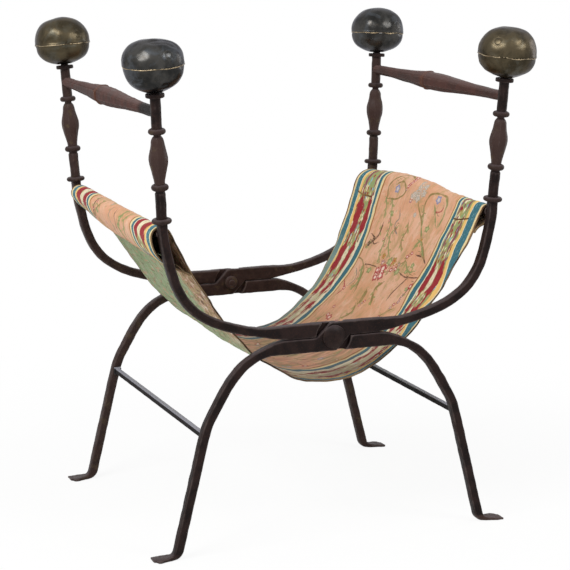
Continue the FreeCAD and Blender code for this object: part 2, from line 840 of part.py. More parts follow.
def make_nodes():
    """Every piece by name."""
    nodes = {
        "near_left_arm_bar": left_arm_bar(-1),
        "far_left_arm_bar": left_arm_bar(1),
        "left_arm_rail": arm_rail(-1),
        "right_arm_rail": arm_rail(1),
        "left_seat_rod": seat_rod(-1),
        "right_seat_rod": seat_rod(1),
        "left_stretcher": stretcher(-1),
        "right_stretcher": stretcher(1),
        "near_pivot_rivet": near_rivet(),
        "near_pivot_rove": near_rove(),
        "right_sling_half": right_cloth(),
    }
    nodes["far_right_arm_bar"] = turned(nodes["near_left_arm_bar"])
    nodes["near_right_arm_bar"] = turned(nodes["far_left_arm_bar"])
    nodes["far_pivot_rivet"] = turned(nodes["near_pivot_rivet"])
    nodes["far_pivot_rove"] = turned(nodes["near_pivot_rove"])
    nodes["left_sling_half"] = turned(nodes["right_sling_half"])
    post_pieces = {
        "lower_ring": ring(lower_ring_width, lower_ring_thickness, 0),
        "middle_ring": ring(middle_ring_width, middle_ring_thickness, middle_ring_height),
        "upper_ring": ring(upper_ring_width, upper_ring_thickness, upper_ring_height),
        "cap_disc": cap_disc(),
        "knob_bottom": knob_bottom(),
        "knob_seam": knob_seam(),
        "knob_top": knob_top(),
        "knob_nut": knob_nut(),
    }
    for name, shape in post_pieces.items():
        for end, near, far in ((-1, "near", "far"), (1, "far", "near")):
            placed = on_post(shape, end).cut(nodes[f"{near}_left_arm_bar"])
            nodes[f"{near}_left_{name}"] = placed
            nodes[f"{far}_right_{name}"] = turned(placed)
    return nodes


os.makedirs("parts", exist_ok=True)
for node, piece in make_nodes().items():
    piece.exportStep(f"parts/{node}.step")
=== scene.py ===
"""Looks of a folding armchair of wrought iron with four brass knobs and a hung, printed cloth seat.

Every length is in metres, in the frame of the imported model: X across the arms, Y in depth with the
near end frame at -Y, Z up from the floor. A place on the cloth is given by s, the length along it
from its lowest line, positive towards the right arm, and v, the place across it, positive far.
"""
import json
import logging
import math
from dataclasses import dataclass, field
from enum import Enum

import bmesh
import bpy
import numpy as np
from mathutils import Matrix, Vector


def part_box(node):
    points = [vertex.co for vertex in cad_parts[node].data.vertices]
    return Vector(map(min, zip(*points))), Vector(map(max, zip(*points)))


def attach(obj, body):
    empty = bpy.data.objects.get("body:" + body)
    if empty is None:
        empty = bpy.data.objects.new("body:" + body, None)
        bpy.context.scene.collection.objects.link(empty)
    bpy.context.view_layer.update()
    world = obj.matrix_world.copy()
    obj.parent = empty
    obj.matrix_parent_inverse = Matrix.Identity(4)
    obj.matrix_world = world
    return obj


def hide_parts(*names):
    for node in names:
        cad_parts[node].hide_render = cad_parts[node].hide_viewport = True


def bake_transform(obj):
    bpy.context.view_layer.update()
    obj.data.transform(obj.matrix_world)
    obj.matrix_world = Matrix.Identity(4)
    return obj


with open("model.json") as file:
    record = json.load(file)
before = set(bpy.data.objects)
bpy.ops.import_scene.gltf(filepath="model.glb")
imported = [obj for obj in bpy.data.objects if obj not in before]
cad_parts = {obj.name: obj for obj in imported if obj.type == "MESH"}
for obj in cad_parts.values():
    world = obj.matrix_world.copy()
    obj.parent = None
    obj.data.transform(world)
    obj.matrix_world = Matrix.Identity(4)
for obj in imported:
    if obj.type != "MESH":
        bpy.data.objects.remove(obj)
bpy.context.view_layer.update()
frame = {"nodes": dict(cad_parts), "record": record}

LOG = logging.getLogger("armchair")
MM = 0.001


class Side(Enum):
    """The two arms, by the sign of X."""

    LEFT = -1
    RIGHT = 1


def lerp(first: np.ndarray, last: np.ndarray, share: np.ndarray) -> np.ndarray:
    """Straight blend from first (share 0) to last (share 1)."""
    return first + (last - first) * share


def smooth_step(low: float, high: float, value: np.ndarray) -> np.ndarray:
    """Ramp of 3t^2 - 2t^3, where t is the place of value between low and high, held to 0..1."""
    share = np.clip((value - low) / (high - low), 0, 1)
    return share * share * (3 - 2 * share)


def bell(distance: np.ndarray, width: float) -> np.ndarray:
    """Bell curve exp(-(distance / width)^2)."""
    return np.exp(-((distance / width) ** 2))


def circle(count: int) -> np.ndarray:
    """Angles that share out one turn."""
    return np.linspace(0, 2 * math.pi, count, endpoint=False)


def ripple(points: np.ndarray, wavelength: float, seed: int, waves: int = 9) -> np.ndarray:
    """Smooth random height at each point, about -1 to 1.

    The mean of sine waves, sin(2 pi (d . p) / w + phase), in random directions d with lengths w
    from 0.7 to 1.5 of the wavelength.

    Args:
        points: Places, one row each, of any number of coordinates.
        wavelength: Usual distance from crest to crest.
        seed: Seed of the directions and phases.
        waves: Number of waves.

    Returns:
        One height for each point.
    """
    random = np.random.default_rng(seed)
    directions = random.normal(size=(waves, points.shape[-1]))
    directions /= np.linalg.norm(directions, axis=1, keepdims=True)
    lengths = wavelength * random.uniform(0.7, 1.5, waves)
    phases = random.uniform(0, 2 * math.pi, waves)
    angles = 2 * math.pi * (points @ (directions / lengths[:, None]).T) + phases
    return np.sin(angles).sum(-1) * math.sqrt(2 / waves) / 1.4


def ripples(points: np.ndarray, seed: int, *waves: tuple[float, float]) -> np.ndarray:
    """Sum of random heights, one for each (height, wavelength), each with a seed one higher."""
    return sum(height * ripple(points, length, seed + number) for number, (height, length) in enumerate(waves))


def grid_faces(rows: int, columns: int, wrap: bool = False) -> np.ndarray:
    """Quads of a grid of points stored row by row.

    Args:
        rows: Points along the first direction.
        columns: Points along the second direction.
        wrap: Joins the last column to the first.

    Returns:
        Four point numbers for each quad.
    """
    across = columns if wrap else columns - 1
    row, column = np.meshgrid(np.arange(rows - 1), np.arange(across), indexing="ij")
    beside = (column + 1) % columns
    corners = (
        row * columns + column, (row + 1) * columns + column, (row + 1) * columns + beside, row * columns + beside
    )
    return np.stack(corners, -1).reshape(-1, 4)


def fan(first: int, count: int, middle: int, back: bool = False) -> np.ndarray:
    """Triangles from a closed ring of points, numbered from first, to one middle point."""
    around, beside = first + np.arange(count), first + (np.arange(count) + 1) % count
    return np.stack((*((beside, around) if back else (around, beside)), np.full(count, middle)), 1)


def new_piece(name: str, points: np.ndarray, faces: list | np.ndarray) -> bpy.types.Object:
    """Makes a smooth-shaded mesh object, at the origin, from points and faces.

    Args:
        name: Name of the object.
        points: One row of x, y, z for each point.
        faces: Point numbers of each face.

    Returns:
        The object, linked to the scene.
    """
    mesh = bpy.data.meshes.new(name)
    mesh.from_pydata(
        np.asarray(points, float).reshape(-1, 3).tolist(), [], [list(map(int, face)) for face in faces]
    )
    mesh.shade_smooth()
    piece = bpy.data.objects.new(name, mesh)
    bpy.context.scene.collection.objects.link(piece)
    return piece


def tidy_normals(piece: bpy.types.Object, merge: float = 0.01 * MM) -> None:
    """Merges doubled points and turns every face outwards."""
    work = bmesh.new()
    work.from_mesh(piece.data)
    bmesh.ops.remove_doubles(work, verts=work.verts, dist=merge)
    bmesh.ops.recalc_face_normals(work, faces=work.faces)
    work.to_mesh(piece.data)
    work.free()
    piece.data.shade_smooth()


def store(piece: bpy.types.Object, name: str, values: np.ndarray) -> None:
    """Keeps one number or one vector for each point as an attribute of the mesh."""
    flat = np.ascontiguousarray(values, np.float32)
    if flat.ndim == 1:
        piece.data.attributes.new(name, "FLOAT", "POINT").data.foreach_set("value", flat)
    else:
        piece.data.attributes.new(name, "FLOAT_VECTOR", "POINT").data.foreach_set("vector", flat.ravel())


def read(items: object, name: str, width: int, kind: type = float) -> np.ndarray:
    """One row of numbers for each point or edge of a mesh."""
    values = np.empty(len(items) * width, kind)
    items.foreach_get(name, values)
    return values.reshape(-1, width)


def dress(piece: bpy.types.Object, material: bpy.types.Material, body: str | None) -> bpy.types.Object:
    """Gives a piece its material and, where named, the body that it rides on."""
    piece.data.materials.clear()
    piece.data.materials.append(material)
    if body:
        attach(piece, body)
    LOG.info("%s: %d faces", piece.name, len(piece.data.polygons))
    return piece


def box_middle(node: str) -> np.ndarray:
    """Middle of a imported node's box."""
    low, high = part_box(node)
    return np.array((low + high) / 2)


def body_of_node(node: str) -> str:
    """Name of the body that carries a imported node."""
    bodies = frame["record"]["behaviour"]["bodies"]
    return next(body for body, nodes in bodies.items() if node in nodes)


class NodeGraph:
    """Short way to add nodes to one tree."""

    def __init__(self, tree: bpy.types.NodeTree) -> None:
        """Keeps the tree."""
        self.tree = tree

    def add(self, kind: str, **settings: object) -> bpy.types.Node:
        """Adds a node and sets its properties."""
        node = self.tree.nodes.new(kind)
        for name, value in settings.items():
            setattr(node, name, value)
        return node

    def feed(self, socket: bpy.types.NodeSocket, value: object) -> None:
        """Links a socket to value, or sets it where value is a plain number, colour or vector."""
        if isinstance(value, Value):
            self.tree.links.new(value.socket, socket)
        elif isinstance(value, (tuple, list)) and len(value) == 3 and socket.type == "RGBA":
            socket.default_value = (*value, 1)
        else:
            socket.default_value = value

    def fill(self, node: bpy.types.Node, **values: object) -> bpy.types.Node:
        """Feeds a node's inputs by name, with _ for a space."""
        for name, value in values.items():
            self.feed(node.inputs[name.replace("_", " ")], value)
        return node

    def outputs(self, node: bpy.types.Node) -> dict[str, "Value"]:
        """A node's results by name."""
        return {socket.name: Value(self, socket) for socket in node.outputs}

    def math(self, operation: str, *values: object) -> "Value":
        """Result of a Math node on one to three values."""
        node = self.add("ShaderNodeMath", operation=operation)
        for socket, value in zip(node.inputs, values):
            self.feed(socket, value)
        return Value(self, node.outputs[0])

    def ramp(self, value: object, low: float, high: float) -> "Value":
        """Smooth ramp from 0 where value is low to 1 where it is high; low may be the larger."""
        node = self.add("ShaderNodeMapRange", interpolation_type="SMOOTHSTEP")
        return Value(self, self.fill(node, Value=value, From_Min=low, From_Max=high).outputs[0])

    def mix(self, share: object, first: object, last: object) -> "Value":
        """Colour between first (share 0) and last (share 1)."""
        node = self.add("ShaderNodeMix", data_type="RGBA")
        for number, value in ((0, share), (6, first), (7, last)):
            self.feed(node.inputs[number], value)
        return Value(self, node.outputs[2])

    def noise(
        self, place: object, scale: float, detail: float = 2, rough: float = 0.5, twist: float = 0
    ) -> "Value":
        """Noise of 0 to 1 at a place, with so many features for each metre."""
        node = self.add("ShaderNodeTexNoise")
        self.fill(node, Vector=place, Scale=scale, Detail=detail, Roughness=rough, Distortion=twist)
        return Value(self, node.outputs["Fac"])

    def split(self, vector: object) -> tuple["Value", ...]:
        """The three numbers of a vector."""
        node = self.add("ShaderNodeSeparateXYZ")
        self.feed(node.inputs[0], vector)
        return tuple(Value(self, socket) for socket in node.outputs)

    def join(self, x: object, y: object, z: object = 0.0) -> "Value":
        """Vector of three numbers."""
        node = self.add("ShaderNodeCombineXYZ")
        return Value(self, self.fill(node, X=x, Y=y, Z=z).outputs[0])

    def attribute(self, name: str, output: str = "Vector") -> "Value":
        """An attribute of the piece's mesh."""
        return self.outputs(self.add("ShaderNodeAttribute", attribute_name=name))[output]

    def place(self) -> "Value":
        """Place on the object, in metres."""
        return self.outputs(self.add("ShaderNodeTexCoord"))["Object"]

    def bump(self, height: object, distance: float, strength: float = 1, base: object = None) -> "Value":
        """Normal of a surface raised by height times distance, on top of a base normal."""
        node = self.fill(self.add("ShaderNodeBump"), Height=height, Distance=distance, Strength=strength)
        if base is not None:
            self.fill(node, Normal=base)
        return Value(self, node.outputs[0])

    def seen(self) -> "Value":
        """1 for camera, glossy and transmission rays, 0 for the others."""
        path = self.outputs(self.add("ShaderNodeLightPath"))
        mirrored = self.math("MAXIMUM", path["Is Glossy Ray"], path["Is Transmission Ray"])
        return self.math("MAXIMUM", path["Is Camera Ray"], mirrored)

    def group(self, tree: bpy.types.NodeTree, **values: object) -> dict[str, "Value"]:
        """Places a shared effect, fed by name, and gives its results."""
        return self.outputs(self.fill(self.add("ShaderNodeGroup", node_tree=tree), **values))


@dataclass(frozen=True)
class Value:
    """A result in a node tree. Arithmetic on it adds Math nodes."""

    graph: NodeGraph
    socket: bpy.types.NodeSocket

    def __add__(self, other: object) -> "Value":
        """Sum."""
        return self.graph.math("ADD", self, other)

    def __sub__(self, other: object) -> "Value":
        """Difference."""
        return self.graph.math("SUBTRACT", self, other)

    def __rsub__(self, other: object) -> "Value":
        """Difference from a plain number."""
        return self.graph.math("SUBTRACT", other, self)

    def __mul__(self, other: object) -> "Value":
        """Product."""
        return self.graph.math("MULTIPLY", self, other)

    def __truediv__(self, other: object) -> "Value":
        """Quotient."""
        return self.graph.math("DIVIDE", self, other)

    def __rtruediv__(self, other: object) -> "Value":
        """Quotient of a plain number."""
        return self.graph.math("DIVIDE", other, self)

    def __abs__(self) -> "Value":
        """Size without its sign."""
        return self.graph.math("ABSOLUTE", self)

    __radd__, __rmul__ = __add__, __mul__


def start_effect(
    name: str, inputs: dict[str, object], outputs: dict[str, str]
) -> tuple[NodeGraph, dict[str, Value], bpy.types.Node]:
    """Starts a shared shader effect.

    Args:
        name: Name of the node group.
        inputs: Default of each input: a number, or a colour of four numbers.
        outputs: Socket type of each output.

    Returns:
        The group's graph, its inputs' values and its output node.
    """
    tree = bpy.data.node_groups.new(name, "ShaderNodeTree")
    for label, default in inputs.items():
        width = len(default) if isinstance(default, tuple) else 1
        kind = {1: "NodeSocketFloat", 3: "NodeSocketVector", 4: "NodeSocketColor"}[width]
        tree.interface.new_socket(label, in_out="INPUT", socket_type=kind).default_value = default
    for label, kind in outputs.items():
        tree.interface.new_socket(label, in_out="OUTPUT", socket_type=kind)
    graph = NodeGraph(tree)
    return graph, graph.outputs(graph.add("NodeGroupInput")), graph.add("NodeGroupOutput")


def start_material(name: str) -> tuple[bpy.types.Material, NodeGraph, bpy.types.Node]:
    """New material with its graph and its Principled shader."""
    material = bpy.data.materials.new(name)
    material.use_nodes = True
    return material, NodeGraph(material.node_tree), material.node_tree.nodes["Principled BSDF"]


def mottle_effect() -> bpy.types.NodeTree:
    """Shared effect: two colours in soft patches of a given size, with finer specks of a third."""
    graph, given, result = start_effect(
        "mottled patina",
        {
            "First": (0, 0, 0, 1), "Second": (0, 0, 0, 1), "Speck": (0, 0, 0, 1), "Patches": 30.0, "Specks": 400.0,
            "Speck Share": 0.3
        },
        {"Color": "NodeSocketColor", "Patch": "NodeSocketFloat", "Speck": "NodeSocketFloat"},
    )
    place = graph.place()
    patch = graph.ramp(graph.noise(place, given["Patches"], 3, 0.55, 0.4), 0.38, 0.64)
    fine = graph.noise(place, given["Specks"], 3, 0.65)
    speck = graph.ramp(fine, 0.52, 0.72) * given["Speck Share"]
    color = graph.mix(patch, given["First"], given["Second"])
    graph.fill(result, Color=graph.mix(speck, color, given["Speck"]), Patch=patch, Speck=speck)
    return graph.tree


def forged_skin_effect() -> bpy.types.NodeTree:
    """Shared effect: pitted and hammered skin of forged iron as one height, 0 to 1."""
    graph, given, result = start_effect(
        "forged skin", {"Pits": 420.0, "Facets": 90.0}, {"Height": "NodeSocketFloat"}
    )
    place = graph.place()
    facets = graph.noise(place, given["Facets"], 2, 0.5)
    pits = graph.ramp(graph.noise(place, given["Pits"], 4, 0.62), 0.30, 0.58)
    graph.fill(result, Height=facets * 0.7 + pits * 0.3)
    return graph.tree


def worn_edge_effect() -> bpy.types.NodeTree:
    """Shared effect: mask of 0 to 1 on rubbed edges, from the piece's edge attribute broken up by noise."""
    graph, given, result = start_effect(
        "worn edges", {"Start": 0.2, "Full": 0.7, "Break Up": 60.0}, {"Mask": "NodeSocketFloat"}
    )
    edge = graph.attribute("edge", "Fac")
    broken = graph.noise(graph.place(), given["Break Up"], 4, 0.6) * 0.9 - 0.45
    graph.fill(result, Mask=graph.ramp(edge + broken, given["Start"], given["Full"]))
    return graph.tree


def weave_effect() -> bpy.types.NodeTree:
    """Shared effect: height of a plain weave, crossed sine ridges of one pitch in millimetres."""
    graph, given, result = start_effect("plain weave", {"Pitch": 0.9}, {"Height": "NodeSocketFloat"})
    s, v, _ = graph.split(graph.attribute("place"))
    wave = 2 * math.pi / given["Pitch"]
    along = graph.math("SINE", s * wave)
    across = graph.math("SINE", v * wave)
    both = along * across * 0.5 + 0.5
    graph.fill(result, Height=both)
    return graph.tree


@dataclass(frozen=True)
class Effects:
    """The shared shader effects, each made once."""

    mottle: bpy.types.NodeTree = field(default_factory=mottle_effect)
    skin: bpy.types.NodeTree = field(default_factory=forged_skin_effect)
    worn: bpy.types.NodeTree = field(default_factory=worn_edge_effect)
    weave: bpy.types.NodeTree = field(default_factory=weave_effect)


@dataclass(frozen=True)
class ForgedIron:
    """Old wax-blacked wrought iron, with patches of brown rust and rubbed, paler edges.

    Where the piece's tone attribute is above 0 the iron turns to the warm colour with golden worn
    spots, and where it is below 0 it is near-black. Faces turned up, in its top attribute, get a painted highlight.
    """

    name: str
    dark: tuple = (0.0072, 0.0042, 0.0041)
    brown: tuple = (0.0185, 0.0103, 0.0093)
    rust: tuple = (0.070, 0.028, 0.015)
    rubbed: tuple = (0.105, 0.080, 0.074)
    warm: tuple = (0.050, 0.029, 0.0245)
    gold: tuple = (0.100, 0.075, 0.036)
    patches: float = 34.0
    rust_share: float = 0.30
    roughness: float = 0.40
    top_highlight: tuple = (0.080, 0.060, 0.063)
    shine: float = 0.10

    def build(self, effects: Effects) -> bpy.types.Material:
        """Makes the material."""
        material, graph, shader = start_material(self.name)
        mottle = graph.group(
            effects.mottle, First=self.dark, Second=self.brown, Speck=self.rust,
            Patches=self.patches, Specks=520.0, Speck_Share=self.rust_share,
        )
        tone = graph.attribute("tone", "Fac")
        uneven = graph.noise(graph.place(), 75.0, 3, 0.6)
        warmth = graph.ramp(tone + (uneven * 0.7 - 0.35), 0.15, 0.85) * 0.85
        color = graph.mix(warmth, mottle["Color"], self.warm)
        spots = graph.ramp(graph.noise(graph.place(), 62.0, 4, 0.6), 0.53, 0.70) * warmth
        color = graph.mix(spots * 0.55, color, self.gold)
        worn = graph.group(effects.worn, Start=0.32, Full=1.0, Break_Up=70.0)["Mask"]
        color = graph.mix(worn * 0.58, color, self.rubbed)
        # Painted highlight: faces turned up, by the top attribute, are lightened.
        color = graph.mix(graph.attribute("top", "Fac") * 0.55, color, self.top_highlight)
        # Where tone is below 0 the iron turns near-black.
        color = graph.mix(graph.ramp(tone, -0.25, -0.9) * 0.9, color, (0.006, 0.005, 0.005))
        graph.fill(shader, Base_Color=color)
        rough = mottle["Patch"] * 0.16 + self.roughness
        rough = mottle["Speck"] * 0.3 + rough - worn * 0.08
        graph.fill(shader, Roughness=rough)
        height = graph.group(effects.skin, Pits=460.0, Facets=95.0)["Height"]
        graph.fill(shader, Normal=graph.bump(height, 0.5 * MM, 0.75), Specular_IOR_Level=self.shine)
        return material


@dataclass
class ForgedPieces:
    """Hand-forged iron pieces: copies of the solids with softened, hammered and rubbed surfaces.

    The voxel lengths are how finely each kind is meshed again, the soften counts how many rounds its
    edges are smoothed, and the hammer heights how far its faces wander.
    """

    effects: Effects
    bar_voxel: float = 1.35 * MM
    rod_voxel: float = 1.2 * MM
    ring_voxel: float = 0.8 * MM
    small_voxel: float = 0.6 * MM
    bar_soften: int = 5
    ring_soften: int = 3
    bar_hammer: float = 0.28 * MM
    ring_hammer: float = 0.10 * MM

    def copy_of(self, node: str, voxel: float) -> bpy.types.Object:
        """Merged copy of a node, meshed again on a voxel grid."""
        piece = bpy.data.objects.new(f"forged_{node}", frame["nodes"][node].data.copy())
        bpy.context.scene.collection.objects.link(piece)
        tidy_normals(piece)
        remesh = piece.modifiers.new("voxels", "REMESH")
        remesh.mode = "VOXEL"
        remesh.voxel_size = voxel
        remesh.adaptivity = 0
        shaped = bpy.data.meshes.new_from_object(piece.evaluated_get(bpy.context.evaluated_depsgraph_get()))
        piece.modifiers.clear()
        piece.data = shaped
        piece.data.name = piece.name
        piece.data.shade_smooth()
        return piece

    @staticmethod
    def relax(points: np.ndarray, edges: np.ndarray, rounds: int, share: float = 0.5) -> np.ndarray:
        """Moves every point a share of the way to the mean of its neighbours, round after round."""
        count = np.bincount(edges.ravel(), minlength=len(points))[:, None]
        for _ in range(rounds):
            total = np.stack([
                np.bincount(edges[:, 0], points[edges[:, 1], axis], len(points))
                + np.bincount(edges[:, 1], points[edges[:, 0], axis], len(points))
                for axis in range(3)
            ], 1)
            points = lerp(points, total / count, share)
        return points

    def tone_of(self, node: str, points: np.ndarray) -> np.ndarray:
        """How warm the iron is at each point.

        Most on the balusters, the rings, the pivots' heads and the near right toe.
        """
        low, high = box_middle("near_left_middle_ring")[2], box_middle("near_left_upper_ring")[2]
        height = points[:, 2]
        if node.endswith("arm_bar"):
            under_ring = smooth_step(high + 6 * MM, high - 8 * MM, height)
            baluster = smooth_step(low - 4 * MM, low + 8 * MM, height) * under_ring
            toe = smooth_step(16 * MM, 6 * MM, height) * (0.95 if node == "near_left_arm_bar" else 0.35)
            post = 0.25 * smooth_step(0.56, 0.60, height)
            return np.maximum(np.maximum(baluster, toe), np.maximum(post, 0.55 if node.startswith("far") else 0.12))
        if node.endswith("ring"):
            return np.full(len(points), 0.45)
        if "far_pivot" in node:
            return np.full(len(points), 1.0)
        return np.full(len(points), 0.3 if "pivot" in node or node.endswith("disc") else 0.0)

    def peen(self, points: np.ndarray, clear: float, head: float = 1.10, dome: float = 4.2 * MM) -> np.ndarray:
        """Rounds a pivot's ends as the hammer leaves them.

        Outside the shank's radius the radius grows by the head's share, r' = r (1 + (head - 1) t),
        and the end towards the chair's middle rises into a dome of height dome (1 - (r / 13 mm)^2).
        The whole piece moves by clear towards the chair's middle, off the bar's uneven face.
        """
        middle = np.array((0, 0, box_middle("near_pivot_rivet")[2]))
        away = (points - middle) * (1, 0, 1)
        radius = np.linalg.norm(away, axis=1)
        grown = points + away * ((head - 1) * smooth_step(6 * MM, 8 * MM, radius))[:, None]
        depth = np.abs(points[:, 1])
        inner = smooth_step(238.6 * MM, 235.6 * MM, depth) * dome * np.clip(1 - (radius / (13 * MM)) ** 2, 0, 1)
        grown[:, 1] -= np.sign(points[:, 1]) * (inner + clear)
        return grown

    @staticmethod
    def slim(post: str, points: np.ndarray, most: float = 0.20) -> np.ndarray:
        """Draws a baluster's top in towards its upper ring.

        The distance from the post's axis shrinks by the most share times a ramp that runs from 27 mm
        below the ring to 7 mm below it.
        """
        low, high = box_middle(f"{post}_middle_ring"), box_middle(f"{post}_upper_ring")
        axis = high - low
        share = (points - low) @ axis / (axis @ axis)
        below = (1 - share) * np.linalg.norm(axis)
        squeeze = most * smooth_step(27 * MM, 7 * MM, below) * smooth_step(-1.5 * MM, 1.5 * MM, below)
        return lerp(points, low + share[:, None] * axis, squeeze[:, None])

    def forge(
        self, node: str, voxel: float, soften: int, hammer: float, material: bpy.types.Material, slot: str,
        seed: int
    ) -> bpy.types.Object:
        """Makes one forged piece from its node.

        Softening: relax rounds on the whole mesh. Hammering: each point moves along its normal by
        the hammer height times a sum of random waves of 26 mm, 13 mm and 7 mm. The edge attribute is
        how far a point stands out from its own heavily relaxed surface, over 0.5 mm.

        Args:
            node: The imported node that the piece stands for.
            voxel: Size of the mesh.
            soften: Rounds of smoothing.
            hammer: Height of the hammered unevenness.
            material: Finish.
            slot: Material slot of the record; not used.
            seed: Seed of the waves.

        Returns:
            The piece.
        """
        piece = self.copy_of(node, voxel)
        mesh = piece.data
        edges = read(mesh.edges, "vertices", 2, np.int64)
        points = self.relax(read(mesh.vertices, "co", 3), edges, soften)
        if node.endswith("arm_bar"):
            points = self.slim(node.removesuffix("_arm_bar"), points)
        mesh.vertices.foreach_set("co", points.ravel())
        mesh.update()
        normals = read(mesh.vertices, "normal", 3)
        broad = self.relax(points, edges, max(int(2.2 * MM / voxel) * 6, 8))
        edge = np.clip(((points - broad) * normals).sum(1) / (0.5 * MM), -1, 1)
        waves = ripples(points, seed, (0.6, 26 * MM), (0.35, 13 * MM), (0.2, 7 * MM))
        points = points + normals * (hammer * (waves - 0.35))[:, None]
        if "pivot" in node:
            points = self.peen(points, 0.35 * MM if "rove" in node else 0.0)
        mesh.vertices.foreach_set("co", points.ravel())
        mesh.update()
        store(piece, "edge", edge)
        store(piece, "tone", self.tone_of(node, points))
        # The top attribute is the mask of a painted highlight on faces turned up.
        store(piece, "top", smooth_step(0.35, 0.85, normals[:, 2]))
        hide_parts(node)
        return dress(piece, material, body_of_node(node))

    def build(self) -> None:
        """Forges the bars, rails, stretchers, rods, post rings, cap discs, rivets and roves."""
        black = ForgedIron("black forged iron").build(self.effects)
        russet = ForgedIron(
            "russet forged rings", dark=(0.0105, 0.0066, 0.0062), brown=(0.024, 0.014, 0.0125)
        ).build(self.effects)
        brown = ForgedIron(
            "brown forged iron", dark=(0.036, 0.0165, 0.0135), brown=(0.070, 0.033, 0.028),
            rust=(0.12, 0.044, 0.020), rubbed=(0.135, 0.086, 0.072),
            warm=(0.12, 0.042, 0.019), gold=(0.22, 0.085, 0.03), patches=20.0, roughness=0.46,
            top_highlight=(0.14, 0.094, 0.088), shine=0.06,
        ).build(self.effects)
        # The grey iron gets a strong, bluish-white painted highlight on its faces turned up.
        grey = ForgedIron(
            "grey forged iron", dark=(0.0075, 0.0060, 0.0064), brown=(0.015, 0.012, 0.0125),
            rust=(0.03, 0.020, 0.017), rubbed=(0.050, 0.048, 0.052), top_highlight=(0.52, 0.52, 0.60), shine=0.05,
            roughness=0.55
        ).build(self.effects)
        materials = {"black_iron": black, "brown_iron": russet, "grey_iron": grey}
        slots = {entry["node"]: entry["material_slot"] for entry in frame["record"]["subparts"]}
        kinds = {
            "arm_bar": (self.bar_voxel, self.bar_soften, self.bar_hammer),
            "seat_rod": (self.rod_voxel, 2, 0.05 * MM),
            "stretcher": (0.9 * MM, 3, 0.14 * MM),
            "ring": (self.ring_voxel, self.ring_soften, self.ring_hammer),
            "cap_disc": (self.small_voxel, 3, 0.08 * MM),
            "pivot_rivet": (self.ring_voxel, 3, 0.12 * MM),
            "pivot_rove": (self.small_voxel, 3, 0.05 * MM),
        }
        for number, node in enumerate(sorted(frame["nodes"])):
            kind = next((kind for kind in kinds if node.endswith(kind)), None)
            if kind:
                self.forge(node, *kinds[kind], materials[slots[node]], slots[node], 100 + 10 * number)
        for side in Side:
            ArmRail(side, brown, 900 + side.value).build()


